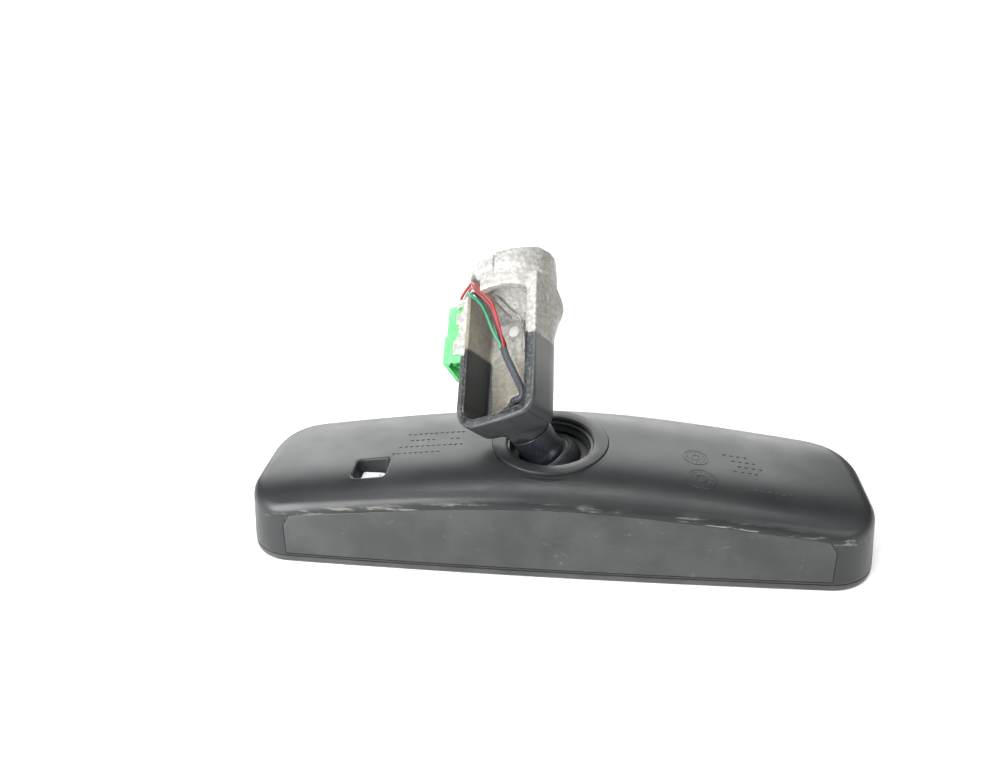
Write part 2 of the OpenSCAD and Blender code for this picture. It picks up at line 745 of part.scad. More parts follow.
module harness_tail() {
    start = [header_at.x + 11, header_at.y + 6.5, board_top + 3.5];
    color("dimgray") in_head()
        tube([
            start, start + [2, 0, 0], start + [5, 0.6, -2], [-20, -6, 9.8], [-15, -4, 9.6],
            [-10, -2.4, 9.6], [-5, -1, 10], [-2.4, -0.5, 11.4], [-1.7, -0.4, 14], [-1.7, -0.4, 16]
        ], sleeve_r);
}

// ---- head: ball socket -------------------------------------------------------------
module socket_housing() {
    color([0.25, 0.26, 0.28]) at_ball() difference() {
        union() {
            translate([0, 0, -16.4]) cylinder(r = 17, h = 16.4 + 5.6);
            translate([0, 0, seat_top - ball_z - 2.6]) cylinder(r = 25.6, h = 2.6);
        }
        sphere(r = seat_r);
        translate([0, 0, -20]) cylinder(r = seat_r, h = 20);
        translate([0, 0, 4]) cylinder(r1 = 11.8, r2 = 14.6, h = 4);
        for (s = screw_spots) translate([s.x, s.y, -10]) cylinder(r = 1.4, h = 30);
        // Bayonet grooves for the spring retainer
        translate([0, 0, -15.8]) cylinder(r = seat_r + 1.2, h = 1.4);
    }
}
module pressure_ring() {
    color("ivory") at_ball() difference() {
        translate([0, 0, -13.2]) cylinder(r = seat_r - 0.15, h = 8);
        sphere(r = seat_r);
        translate([0, 0, -20]) cylinder(r = 6, h = 20);
    }
}
module socket_spring() {
    color("steelblue") at_ball() rotate_extrude()
        polygon([[6.6, -13.9], [12.8, -14.3], [12.8, -13.8], [6.6, -13.3]]);
}
module spring_retainer() {
    color("gray") at_ball() difference() {
        union() {
            translate([0, 0, -16.3]) cylinder(r = seat_r - 0.1, h = 1.9);
            intersection() {
                translate([0, 0, -15.7]) cylinder(r = seat_r + 1.1, h = 1.2);
                for (a = [0, 60, 120]) rotate(a) translate([-20, -3, -20]) cube([40, 6, 20]);
            }
        }
        translate([0, 0, -20]) cylinder(r = 6, h = 20);
    }
}
module socket_screws() {
    color("silver") at_ball()
        for (s = screw_spots) translate([s.x, s.y, seat_top - ball_z - 2.6]) {
            translate([0, 0, -1.5]) cylinder(r = 2.5, h = 1.5);
            cylinder(r = 1.08, h = 6.4);
        }
}

mount_arm();
ball_stud();
stud_nut();
retaining_spring();
spring_rivet();
connector_housing();
connector_lock();
connector_pins();
wire_red_upper();
wire_red_lower();
wire_green();
wire_black();
harness_sleeve();
socket_liner();
socket_cup();
rear_housing();
opening_ring();
blanking_panel();
sensor_lens();
bezel();
front_glass();
edge_seal();
dimming_gel();
rear_glass();
bus_clips();
foam_pad();
backing_plate();
circuit_board();
board_screws();
microcontroller();
capacitors();
ambient_sensor();
glare_sensor();
board_header();
harness_plug();
harness_tail();
socket_housing();
pressure_ring();
socket_spring();
spring_retainer();
socket_screws();
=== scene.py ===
"""Looks of an interior rearview mirror that lies glass down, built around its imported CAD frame.

Shapes are worked out in millimetres, in the frame of the head or of the arm, and turned into
metres of the row's frame when a mesh is made.
"""

import json
import math

import bmesh
import bpy
import numpy as np
from mathutils import Matrix, Vector


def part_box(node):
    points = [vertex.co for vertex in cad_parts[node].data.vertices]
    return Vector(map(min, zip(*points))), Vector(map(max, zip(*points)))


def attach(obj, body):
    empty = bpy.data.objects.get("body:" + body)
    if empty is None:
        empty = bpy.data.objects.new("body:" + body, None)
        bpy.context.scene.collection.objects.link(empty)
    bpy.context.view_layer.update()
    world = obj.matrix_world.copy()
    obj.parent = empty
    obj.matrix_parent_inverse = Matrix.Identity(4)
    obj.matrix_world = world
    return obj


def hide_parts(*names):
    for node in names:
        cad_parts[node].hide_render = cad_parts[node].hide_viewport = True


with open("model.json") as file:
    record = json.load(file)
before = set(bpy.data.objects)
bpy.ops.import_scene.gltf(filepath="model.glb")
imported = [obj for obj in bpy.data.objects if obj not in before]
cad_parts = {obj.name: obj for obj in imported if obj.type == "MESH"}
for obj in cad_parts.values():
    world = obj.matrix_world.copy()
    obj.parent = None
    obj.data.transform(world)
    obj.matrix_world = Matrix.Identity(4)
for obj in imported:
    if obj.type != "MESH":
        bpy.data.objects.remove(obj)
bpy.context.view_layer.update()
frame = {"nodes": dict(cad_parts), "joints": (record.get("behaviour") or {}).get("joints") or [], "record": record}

MM = 0.001


# ---- places, taken from the frame ---------------------------------------------------------
def unit(v):
    return v / np.linalg.norm(v)


def millimetres(values):
    return np.array(values, float) / MM


joints = {joint["name"]: joint for joint in frame["joints"]}
mounts = {mount["name"]: mount for mount in frame["record"]["mounts"]}
bezel_low, bezel_high = (millimetres(corner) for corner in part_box("bezel"))
ball = millimetres(joints["stem_twist"]["pos_m"])

HEAD_LEN, HEAD_WID = (bezel_high - bezel_low)[:2]
HEAD_AT = np.append(((bezel_high + bezel_low) / 2)[:2], 0.0)
BALL_AT = ball - HEAD_AT
CROWN_H = millimetres(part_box("opening_ring")[1])[2]

# The arm's own axes: across the trough, from rim to back, and up to the collar
COLLAR_Y, COLLAR_SEAT = -10.7, 59.65
stem_dir = unit(np.array(joints["stem_twist"]["axis"], float))
arm_up = unit(np.array(mounts["windscreen_collar"]["axis"], float))
arm_across = unit(np.cross(arm_up, stem_dir))
arm_deep = np.cross(arm_up, arm_across)
arm_origin = (
    millimetres(mounts["windscreen_collar"]["pos_m"])
    - COLLAR_Y * arm_deep
    - COLLAR_SEAT * arm_up
)
STEM_LEN = np.linalg.norm(arm_origin - ball)
STEM_ANGLE = math.acos(float(stem_dir @ arm_up))

head_frame = (HEAD_AT, np.eye(3))
arm_frame = (arm_origin, np.array([arm_across, arm_deep, arm_up]))
stem_frame = (ball, np.array([arm_across, np.cross(stem_dir, arm_across), stem_dir]))


def placed(points, place):
    """Points of a frame, in millimetres, as metres in the row's frame."""
    origin, axes = place
    return (np.asarray(points, float) @ axes + origin) * MM


# ---- meshes -------------------------------------------------------------------------------
def mesh_of(points, faces, place, name="mesh"):
    mesh = bpy.data.meshes.new(name)
    mesh.from_pydata(placed(points, place).tolist(), [], [list(map(int, f)) for f in faces])
    mesh.update()
    return mesh


def cleaned(mesh, gap=1e-6):
    """The mesh with doubled points joined and faces of no size removed."""
    work = bmesh.new()
    work.from_mesh(mesh)
    bmesh.ops.remove_doubles(work, verts=work.verts, dist=gap)
    bmesh.ops.dissolve_degenerate(work, dist=gap, edges=work.edges)
    work.to_mesh(mesh)
    work.free()
    return mesh


def grid_faces(rows, columns, closed_rows=False, closed_columns=True):
    """Quads between the points of a grid that is stored row by row."""
    faces = []
    for j in range(rows if closed_rows else rows - 1):
        for i in range(columns if closed_columns else columns - 1):
            jn, inn = (j + 1) % rows, (i + 1) % columns
            a, b = j * columns + i, j * columns + inn
            c, d = jn * columns + inn, jn * columns + i
            faces.append((a, b, c, d))
    return faces


def banded(rings):
    """Points and faces of one closed band: the last ring joins the first."""
    return np.concatenate(rings), grid_faces(len(rings), len(rings[0]), closed_rows=True)


def capped(rings):
    """Points and faces of a skin over the rings, closed by a face at each end."""
    width = len(rings[0])
    last = (len(rings) - 1) * width
    faces = grid_faces(len(rings), width)
    faces.append(tuple(range(width - 1, -1, -1)))
    faces.append(tuple(range(last, last + width)))
    return np.concatenate(rings), faces


def softened(corners, radius, steps=4):
    """A closed outline whose corners are rounded; radius is one number or one for each corner."""
    corners = [np.array(c, float) for c in corners]
    radii = radius if isinstance(radius, (list, tuple)) else [radius] * len(corners)
    outline = []
    for k, corner in enumerate(corners):
        before, after = corners[k - 1] - corner, corners[(k + 1) % len(corners)] - corner
        if radii[k] <= 0:
            outline.append(corner)
            continue
        start = corner + unit(before) * min(radii[k], 0.45 * np.linalg.norm(before))
        end = corner + unit(after) * min(radii[k], 0.45 * np.linalg.norm(after))
        for s in np.linspace(0, 1, steps + 1):
            outline.append(start * (1 - s) ** 2 + corner * 2 * s * (1 - s) + end * s**2)
    return np.array(outline)


def lathed(profile, steps=96):
    """A closed profile of (radius, height) points turned about Z."""
    angles = np.linspace(0, 2 * np.pi, steps, endpoint=False)
    rings = [
        np.column_stack([r * np.cos(angles), r * np.sin(angles), np.full(steps, z)])
        for r, z in profile
    ]
    return banded(rings)


def smoothed(route, steps=8):
    """A Catmull-Rom curve through the route's points."""
    route = np.array(route, float)
    padded = np.vstack([route[0], route, route[-1]])
    curve = []
    for i in range(len(route) - 1):
        a, b, c, d = padded[i : i + 4]
        for s in np.arange(steps) / steps:
            square, cube = 2 * a - 5 * b + 4 * c - d, 3 * b - a - 3 * c + d
            curve.append(0.5 * (2 * b + (c - a) * s + square * s**2 + cube * s**3))
    return np.array(curve + [route[-1]])


def swept(route, radius, sides=16, steps=8):
    """A round tube along a smooth route, with flat ends; radius may differ along it."""
    curve = smoothed(route, steps)
    along = np.gradient(curve, axis=0)
    along /= np.linalg.norm(along, axis=1)[:, None]
    radii = np.broadcast_to(radius, len(curve))
    side = unit(np.cross(along[0], [0.1, 1, 0.05]))
    angles = np.linspace(0, 2 * np.pi, sides, endpoint=False)
    rings = []
    for point, direction, r in zip(curve, along, radii):
        side = unit(side - direction * (side @ direction))
        up = np.cross(direction, side)
        rings.append(point + r * (np.outer(np.cos(angles), side) + np.outer(np.sin(angles), up)))
    return capped(rings)


def rounded_rectangle(half_x, half_y, radius, steps=6):
    points = []
    for quarter, (sx, sy) in enumerate([(1, 1), (-1, 1), (-1, -1), (1, -1)]):
        for s in np.linspace(0, np.pi / 2, steps + 1):
            angle = quarter * np.pi / 2 + s
            x = sx * (half_x - radius) + radius * math.cos(angle)
            y = sy * (half_y - radius) + radius * math.sin(angle)
            points.append([x, y])
    return np.array(points)


def block(low, high, bevel=0.3):
    """Points and faces of a box with rounded edges."""
    low, high = np.array(low, float), np.array(high, float)
    half, middle = (high - low) / 2, (high + low) / 2
    bevel = min(bevel, 0.45 * 2 * half.min())
    rings = []
    for z, pull in ((-1, 1), (-1, 0.3), (-1, 0), (1, 0), (1, 0.3), (1, 1)):
        inset = bevel * pull
        drop = bevel * (1 - pull if pull != 0.3 else 0.3)
        flat = rounded_rectangle(half[0] - inset, half[1] - inset, bevel, 3)
        height = middle[2] + z * (half[2] - drop * (pull < 1))
        rings.append(np.column_stack([flat + middle[:2], np.full(len(flat), height)]))
    return capped(rings)


def joined(*shapes):
    """Several (points, faces) as one."""
    points, faces, count = [], [], 0
    for p, f in shapes:
        points.append(np.asarray(p, float))
        faces += [tuple(i + count for i in face) for face in f]
        count += len(p)
    return np.concatenate(points), faces


def combined(base, others, how):
    """The mesh base with the meshes others added to it or cut from it."""
    made = bpy.data.objects.new("work", base)
    bpy.context.scene.collection.objects.link(made)
    helpers = []
    for mesh in others:
        helper = bpy.data.objects.new("helper", mesh)
        bpy.context.scene.collection.objects.link(helper)
        modifier = made.modifiers.new("combine", "BOOLEAN")
        modifier.operation = how
        modifier.solver = "MANIFOLD"
        modifier.object = helper
        helpers.append(helper)
    result = bpy.data.meshes.new_from_object(made.evaluated_get(bpy.context.evaluated_depsgraph_get()))
    for work in [made, *helpers]:
        bpy.data.objects.remove(work)
    return result


def show(name, mesh, body, material, stands_for=(), sharp=35):
    """Puts a mesh in the scene as a piece of the object."""
    mesh.name = name
    mesh.materials.clear()
    mesh.materials.append(material)
    mesh.shade_smooth()
    mesh.set_sharp_from_angle(angle=math.radians(sharp))
    piece = bpy.data.objects.new(name, mesh)
    bpy.context.scene.collection.objects.link(piece)
    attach(piece, body)
    if stands_for:
        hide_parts(*stands_for)
    return piece


def finish_nodes(material, *names):
    """Gives CAD nodes that stay a better material."""
    for name in names:
        mesh = frame["nodes"][name].data
        mesh.materials.clear()
        mesh.materials.append(material)


# ---- materials ----------------------------------------------------------------------------
class Look:
    """A material with one Principled shader, and short calls for the nodes that feed it."""

    def __init__(self, name, color, roughness, **values):
        self.material = bpy.data.materials.new(name)
        self.material.use_nodes = True
        self.tree = self.material.node_tree
        self.shader = self.tree.nodes["Principled BSDF"]
        self.shader.inputs["Base Color"].default_value = (*color, 1)
        self.shader.inputs["Roughness"].default_value = roughness
        for socket, value in values.items():
            self.shader.inputs[socket.replace("_", " ")].default_value = value
        self.color = (*color, 1)
        self.at = self.scaled(self.node("ShaderNodeTexCoord").outputs["Object"], 1 / MM)

    def node(self, kind, **settings):
        made = self.tree.nodes.new(kind)
        for key, value in settings.items():
            setattr(made, key, value)
        return made

    def plug(self, socket, value):
        if isinstance(value, bpy.types.NodeSocket):
            self.tree.links.new(value, socket)
        else:
            socket.default_value = value

    def scaled(self, vector, factor):
        made = self.node("ShaderNodeVectorMath", operation="MULTIPLY")
        self.plug(made.inputs[0], vector)
        made.inputs[1].default_value = factor if isinstance(factor, tuple) else (factor,) * 3
        return made.outputs[0]

    def attribute(self, name, output="Fac"):
        return self.node("ShaderNodeAttribute", attribute_name=name).outputs[output]

    def noise(self, size, detail=3.0, stretch=(1, 1, 1), rough=0.55, at=None):
        """Noise whose features are about size millimetres, longer along a stretched axis."""
        made = self.node("ShaderNodeTexNoise")
        self.plug(made.inputs["Vector"], self.scaled(at or self.at, tuple(1 / s for s in stretch)))
        made.inputs["Scale"].default_value = 1 / size
        made.inputs["Detail"].default_value = detail
        made.inputs["Roughness"].default_value = rough
        return made.outputs["Fac"]

    def cells(self, size, stretch=(1, 1, 1), at=None):
        made = self.node("ShaderNodeTexVoronoi")
        self.plug(made.inputs["Vector"], self.scaled(at or self.at, tuple(1 / s for s in stretch)))
        made.inputs["Scale"].default_value = 1 / size
        return made.outputs["Distance"]

    def math(self, operation, a, b=0.0, clamp=False):
        made = self.node("ShaderNodeMath", operation=operation, use_clamp=clamp)
        self.plug(made.inputs[0], a)
        self.plug(made.inputs[1], b)
        return made.outputs[0]

    def step(self, value, low, high, out_low=0.0, out_high=1.0):
        """value from low to high becomes out_low to out_high, smoothly."""
        made = self.node("ShaderNodeMapRange", interpolation_type="SMOOTHSTEP")
        self.plug(made.inputs["Value"], value)
        for socket, number in zip(("From Min", "From Max", "To Min", "To Max"),
                                  (low, high, out_low, out_high)):
            made.inputs[socket].default_value = number
        return made.outputs["Result"]

    def times(self, *values):
        result = values[0]
        for value in values[1:]:
            result = self.math("MULTIPLY", result, value)
        return result

    def mix(self, share, a, b):
        """The colour a where share is 0 and b where it is 1."""
        made = self.node("ShaderNodeMix", data_type="RGBA")
        self.plug(made.inputs["Factor"], share)
        for socket, value in ((made.inputs["A"], a), (made.inputs["B"], b)):
            self.plug(socket, value if isinstance(value, bpy.types.NodeSocket) else (*value, 1))
        return made.outputs["Result"]

    def between(self, share, a, b):
        """The number a where share is 0 and b where it is 1."""
        made = self.node("ShaderNodeMapRange")
        self.plug(made.inputs["Value"], share)
        self.plug(made.inputs["To Min"], a)
        self.plug(made.inputs["To Max"], b)
        return made.outputs["Result"]

    def paint(self, value):
        self.plug(self.shader.inputs["Base Color"], value)
        return self

    def rough(self, value):
        self.plug(self.shader.inputs["Roughness"], value)
        return self

    def metal(self, value):
        self.plug(self.shader.inputs["Metallic"], value)
        return self

    def bump(self, height, depth, strength=1.0):
        """Relief of the given depth in millimetres."""
        made = self.node("ShaderNodeBump")
        self.plug(made.inputs["Height"], height)
        made.inputs["Distance"].default_value = depth * MM
        made.inputs["Strength"].default_value = strength
        last = self.shader.inputs["Normal"]
        if last.is_linked:
            self.plug(made.inputs["Normal"], last.links[0].from_socket)
        self.plug(last, made.outputs["Normal"])
        return self


def head_plastic():
    """Fine-grained black plastic with dust; in the band under the near ridge, scratches, and the colour darkened
    as painted shade.
    """
    look = Look("head_plastic", (0.024, 0.027, 0.030), 0.46)
    cloud = look.step(look.noise(38, 4), 0.35, 0.68)
    base = look.mix(cloud, (0.018, 0.021, 0.023), (0.026, 0.029, 0.029))
    specks = look.step(look.noise(0.9, 2), 0.70, 0.78)
    patches = look.step(look.noise(24, 3), 0.48, 0.70)
    base = look.mix(look.times(specks, patches, 0.55), base, (0.20, 0.20, 0.185))
    scratch_and_shade_band = look.attribute("scratch_and_shade_band")
    streaks = look.step(look.noise(1.6, 5, stretch=(7, 1, 1)), 0.50, 0.62)
    gaps = look.step(look.noise(11, 3, stretch=(2, 1, 1)), 0.42, 0.60)
    worn = look.times(scratch_and_shade_band, streaks, gaps)
    # Painted shade: the band under the near ridge is darkened; the lighter streaks after it are scratches.
    base = look.mix(look.times(scratch_and_shade_band, 0.65), base, (0.012, 0.013, 0.014))
    base = look.mix(look.times(worn, 0.85), base, (0.34, 0.33, 0.29))
    look.paint(base)
    look.rough(look.between(worn, look.step(look.noise(15, 4), 0.3, 0.7, 0.34, 0.42), 0.85))
    look.bump(look.noise(0.42, 3, rough=0.6), 0.05, 0.55)
    look.bump(look.noise(55, 2), 0.5, 0.12)
    return look.material


def satin_plastic(name, color, roughness=0.45, smears=0.0, grain=0.3, depth=0.02):
    """Smooth moulded plastic with faint handling marks."""
    look = Look(name, color, roughness)
    light = tuple(min(1.0, c * 1.35 + 0.006) for c in color)
    base = look.mix(look.step(look.noise(22, 4), 0.35, 0.65), color, light)
    if smears:
        marks = look.step(look.noise(5, 6, stretch=(1.4, 1, 1), rough=0.7), 0.60, 0.76)
        specks = look.step(look.noise(0.7, 2), 0.72, 0.80)
        soil = look.math("MAXIMUM", look.times(marks, 0.55), look.times(specks, 0.6))
        base = look.mix(look.times(soil, smears), base, (0.27, 0.265, 0.245))
    look.paint(base)
    look.rough(look.step(look.noise(9, 4), 0.3, 0.7, roughness - 0.05, roughness + 0.07))
    look.bump(look.noise(grain, 2), depth, 0.5)
    return look.material


def cast_metal():
    """Bare die-cast metal above, satin black paint below, with overspray inside the trough; the paint inside the
    trough and on the boss is darker as painted shade, and the rim's front edge and a spot on the trough's floor
    get painted highlights.
    """
    look = Look("cast_metal", (0.75, 0.74, 0.71), 0.42)
    arm_at = look.attribute("arm_at", "Vector")
    parts = look.node("ShaderNodeSeparateXYZ")
    look.plug(parts.inputs[0], arm_at)
    painted = look.attribute("paint")
    fine = look.noise(0.34, 3, rough=0.65, at=arm_at)
    coarse = look.noise(1.7, 3, at=arm_at)
    edge = look.math("ADD", painted, look.times(look.math("SUBTRACT", fine, 0.5), 1.5))
    cover = look.step(edge, 0.44, 0.56)
    metal = look.mix(look.step(coarse, 0.3, 0.7), (0.46, 0.45, 0.425), (0.74, 0.735, 0.71))
    pits = look.step(look.noise(0.42, 3, rough=0.7, at=arm_at), 0.55, 0.62)
    tarnish = look.attribute("tarnish")
    metal = look.mix(look.times(tarnish, 0.8), metal, (0.30, 0.27, 0.20))
    metal = look.mix(look.times(pits, look.between(tarnish, 0.34, 0.9)), metal, (0.13, 0.112, 0.085))
    black = look.mix(look.step(look.noise(12, 4, at=arm_at), 0.35, 0.7),
                     (0.048, 0.054, 0.056), (0.066, 0.072, 0.073))
    black = look.mix(look.times(look.attribute("thin"), 0.85), black, (0.21, 0.21, 0.20))
    # Painted shade: the paint inside the trough and on the boss under the arm is darker.
    black = look.mix(look.attribute("painted_shade"), black, (0.020, 0.023, 0.026))
    # Painted highlight: a lighter, patchy band along the rim's front edge.
    painted_rim_highlight = look.times(look.attribute("edge"), look.step(look.noise(1.1, 4, at=arm_at), 0.50, 0.64))
    black = look.mix(look.times(painted_rim_highlight, 0.5), black, (0.28, 0.28, 0.27))
    look.paint(look.mix(cover, metal, black))
    look.metal(look.between(cover, 0.45, 0.0))
    look.rough(look.between(cover, look.step(coarse, 0.3, 0.7, 0.52, 0.42), 0.36))
    look.bump(look.math("MULTIPLY", fine, look.between(cover, 1.0, 0.2)), 0.20, 0.8)
    look.bump(look.noise(4.5, 3, at=arm_at), 0.3, 0.2)
    return look.material


def stud_finish():
    """Satin black over the stem, worn to grey steel on the ball."""
    look = Look("stud_finish", (0.02, 0.023, 0.028), 0.34)
    bare = look.step(look.attribute("bare"), 0.35, 0.65)
    scratches = look.step(look.noise(0.8, 4, stretch=(1, 1, 6)), 0.58, 0.70)
    black = look.mix(look.times(scratches, 0.35), (0.016, 0.020, 0.026), (0.11, 0.12, 0.13))
    steel = look.mix(look.step(look.noise(2.4, 4), 0.35, 0.65), (0.30, 0.31, 0.31), (0.46, 0.46, 0.45))
    look.paint(look.mix(bare, black, steel))
    look.metal(look.between(bare, 0.0, 0.75))
    look.rough(look.step(look.noise(6, 3), 0.3, 0.7, 0.30, 0.42))
    look.bump(look.noise(0.5, 2), 0.02, 0.4)
    return look.material


def drawn_metal(name, color, roughness=0.3, spread=0.10):
    """Plain metal with a fine, uneven polish."""
    look = Look(name, color, roughness, Metallic=1.0)
    dark = tuple(c * 0.72 for c in color)
    look.paint(look.mix(look.step(look.noise(1.8, 4), 0.35, 0.65), dark, color))
    look.rough(look.step(look.noise(0.8, 3), 0.3, 0.7, roughness - spread / 2, roughness + spread))
    look.bump(look.noise(0.25, 2), 0.01, 0.5)
    return look.material


def clear_plastic(name, tint, roughness=0.06):
    look = Look(name, tint, roughness, Transmission_Weight=1.0, IOR=1.49)
    haze = look.step(look.noise(1.5, 3), 0.3, 0.7, roughness, roughness + 0.12)
    look.rough(haze)
    look.bump(look.noise(1.2, 2), 0.01, 0.3)
    return look.material


def clear_glass():
    look = Look("clear_glass", (0.93, 0.97, 0.96), 0.0, Transmission_Weight=1.0, IOR=1.52)
    smears = look.step(look.noise(14, 5, stretch=(1.6, 1, 1)), 0.50, 0.75)
    look.rough(look.between(smears, 0.0, 0.10))
    return look.material


def mirror_silver():
    look = Look("mirror_silver", (0.80, 0.83, 0.84), 0.03, Metallic=1.0)
    look.paint(look.mix(look.step(look.noise(30, 3), 0.3, 0.7), (0.77, 0.81, 0.83), (0.83, 0.85, 0.85)))
    return look.material


def soft_foam():
    look = Look("soft_foam", (0.10, 0.10, 0.105), 0.9)
    pores = look.step(look.cells(0.35), 0.1, 0.5)
    look.paint(look.mix(pores, (0.045, 0.045, 0.05), (0.13, 0.13, 0.135)))
    look.bump(pores, 0.12, 0.8)
    return look.material


def solder_mask():
    look = Look("solder_mask", (0.015, 0.13, 0.055), 0.3)
    tracks = look.node("ShaderNodeTexBrick")
    look.plug(tracks.inputs["Vector"], look.scaled(look.at, 0.35))
    tracks.inputs["Mortar Size"].default_value = 0.06
    lines = look.math("SUBTRACT", 1.0, tracks.outputs["Fac"])
    look.paint(look.mix(lines, (0.03, 0.20, 0.085), (0.012, 0.105, 0.045)))
    look.bump(tracks.outputs["Fac"], 0.04, 0.5)
    return look.material


# ---- head ---------------------------------------------------------------------------------
CORNER_R, FAR_CORNER_R, EDGE_BOW = 19.0, 30.0, 2.0
END_DROP, EDGE_DROP, END_SOFT = 14.0, 10.7, 60.0
WALL, PART_Z = 2.4, 3.0
RIDGE_INSET, RIDGE_FALL, DRAFT_INSET = 5.0, 4.6, 2.4
CORNER_STEPS, LONG_STEPS, SHORT_STEPS = 20, 72, 12
HOLE_R, FLANGE_R, SEAT_TOP = 21.5, 23.5, 34.0
OPENING_R = 17.5


def bow(x):
    return EDGE_BOW * (1 - (x / (HEAD_LEN / 2)) ** 2)


def outline(inset):
    """The head's outline moved inward by inset, from the right end round against the clock."""
    corners = []
    for side_x, side_y in ((1, -1), (1, 1), (-1, 1), (-1, -1)):
        radius = FAR_CORNER_R if side_y > 0 else CORNER_R
        centre = (HEAD_LEN / 2 - radius, HEAD_WID / 2 - EDGE_BOW - radius)
        corners.append((np.array([side_x, side_y]) * centre, radius - inset))
    points = []
    for q, (centre, radius) in enumerate(corners):
        turn = np.radians(90 * (q - 1 + np.arange(CORNER_STEPS + 1) / CORNER_STEPS))
        arc = centre + radius * np.column_stack([np.cos(turn), np.sin(turn)])
        start = math.radians(90 * q)
        next_centre, next_radius = corners[(q + 1) % 4]
        end = next_centre + next_radius * np.array([math.cos(start), math.sin(start)])
        steps = SHORT_STEPS if q % 2 == 0 else LONG_STEPS
        share = (np.arange(1, steps) / steps)[:, None]
        points += [arc, arc[-1] * (1 - share) + end * share]
    ring = np.concatenate(points)
    ring[:, 1] += np.sign(ring[:, 1]) * bow(ring[:, 0])
    return ring


RING_COUNT = len(outline(0))
RIGHT_MID = CORNER_STEPS + SHORT_STEPS / 2


def hyper(x):
    return np.sqrt(1 + (x / END_SOFT) ** 2) - 1


def back_z(x, y):
    """Height of the head's back face."""
    return (
        CROWN_H
        - END_DROP * hyper(x) / hyper(HEAD_LEN / 2)
        - EDGE_DROP * (np.abs(y) / (HEAD_WID / 2)) ** 4.5
    )


def lifted(flat, height):
    return np.column_stack([flat, np.broadcast_to(height, len(flat))])


def ridge_ring(inset):
    flat = outline(inset)
    return lifted(flat, back_z(flat[:, 0], flat[:, 1]))


def wall_ring(share, extra=0.0):
    """The side wall, from the parting line (share 0) to just under the ridge (share 1)."""
    height = PART_Z + share * (ridge_ring(RIDGE_INSET)[:, 2] - RIDGE_FALL - PART_Z)
    return lifted(outline(DRAFT_INSET * share + extra), height)


def fillet_ring(share, extra=0.0, sink=0.0):
    """The round-over between the side wall and the back face."""
    low, high = wall_ring(1, extra), ridge_ring(RIDGE_INSET + extra)
    middle = lifted(outline(DRAFT_INSET + 0.4 + extra), high[:, 2] - 1.7)
    bent = low * (1 - share) ** 2 + middle * 2 * share * (1 - share) + high * share**2
    return bent - [0, 0, sink * share]


def dome_ring(share, radius, extra=0.0, sink=0.0):
    """The back face between the ridge (share 0) and the opening (share 1)."""
    turn = (np.arange(RING_COUNT) - RIGHT_MID) * 2 * np.pi / RING_COUNT
    circle = BALL_AT[:2] + radius * np.column_stack([np.cos(turn), np.sin(turn)])
    flat = outline(RIDGE_INSET + extra) * (1 - share) + circle * share
    return lifted(flat, back_z(flat[:, 0], flat[:, 1]) - sink)


PANEL_END, PANEL_LOW = 106.0, PART_Z + 1.2
PANEL_CORNER = 4.0


def wall_point(x, z, out):
    """A point of the near side wall, moved out of it by out."""
    low_y = -(HEAD_WID / 2 - EDGE_BOW) - bow(x)
    top_y = low_y + DRAFT_INSET
    top_z = back_z(x, top_y + RIDGE_INSET - DRAFT_INSET) - RIDGE_FALL
    y = low_y + DRAFT_INSET * (z - PART_Z) / (top_z - PART_Z)
    return np.column_stack([x, y - out, z])


def panel_outline(grow):
    """The blanking panel's outline as (x, z) on the wall, with round upper corners."""
    x = np.linspace(-1, 1, 81) * (PANEL_END + grow)
    top = back_z(x, -(HEAD_WID / 2 - EDGE_BOW) - bow(x) + RIDGE_INSET) - RIDGE_FALL + grow
    low = PANEL_LOW - grow
    corner = PANEL_CORNER + grow
    from_end = PANEL_END + grow - np.abs(x)
    fall = np.where(
        from_end < corner,
        corner - np.sqrt(np.maximum(corner**2 - (corner - from_end) ** 2, 0)),
        0,
    )
    upper = np.column_stack([x, top - fall])[::-1]
    lower = np.column_stack([x, np.full(len(x), low)])
    return np.concatenate([lower, upper])


def panel_rings(grow, layers):
    """Rings of the panel: each layer is (how far inside the outline, how far out of the wall)."""
    edge = panel_outline(grow)
    rings = []
    for inside, out in layers:
        middle_z = (PANEL_LOW + np.interp(edge[:, 0], edge[81:, 0][::-1], edge[81:, 1][::-1])) / 2
        reach = np.maximum(np.abs(edge[:, 1] - middle_z), 1e-3)
        share = np.maximum(0, 1 - inside / reach)
        x = edge[:, 0] * (1 - np.minimum(inside, 3.0) / (PANEL_END + 2))
        z = middle_z + (edge[:, 1] - middle_z) * share
        rings.append(wall_point(x, z, out))
    return rings


SENSOR_AT = np.array([-72.5, -16.0])
WINDOW_TOP, WINDOW_LOW, WINDOW_FLOOR, LENS_Z = (13.6, 11.2), (9.4, 7.8), 26.6, 29.6
PIPE_R, PIPE_LOW = 2.2, 14.2


def window_cutter(grow=0.0):
    """The tapered well over the light sensor, with a rounded mouth."""
    rings = []
    for share, height in ((0.0, WINDOW_FLOOR), (0.55, 31.2)):
        size = [lo * (1 - share) + hi * share for lo, hi in zip(WINDOW_LOW, WINDOW_TOP)]
        flat = rounded_rectangle(size[0] / 2 + grow, size[1] / 2 + grow, 1.3 + grow) + SENSOR_AT
        rings.append(lifted(flat, height))
    for angle in np.radians([0, 22, 45, 68, 90]):
        flare = 0.8 * (1 - math.cos(angle))
        sink = 0.8 * (1 - math.sin(angle))
        flat = rounded_rectangle(
            WINDOW_TOP[0] / 2 + grow + flare, WINDOW_TOP[1] / 2 + grow + flare, 2.0 + grow + flare
        ) + SENSOR_AT
        rings.append(lifted(flat, back_z(flat[:, 0], flat[:, 1]) - sink))
    rings.append(rings[-1] + [0, 0, 6])
    return capped(rings)


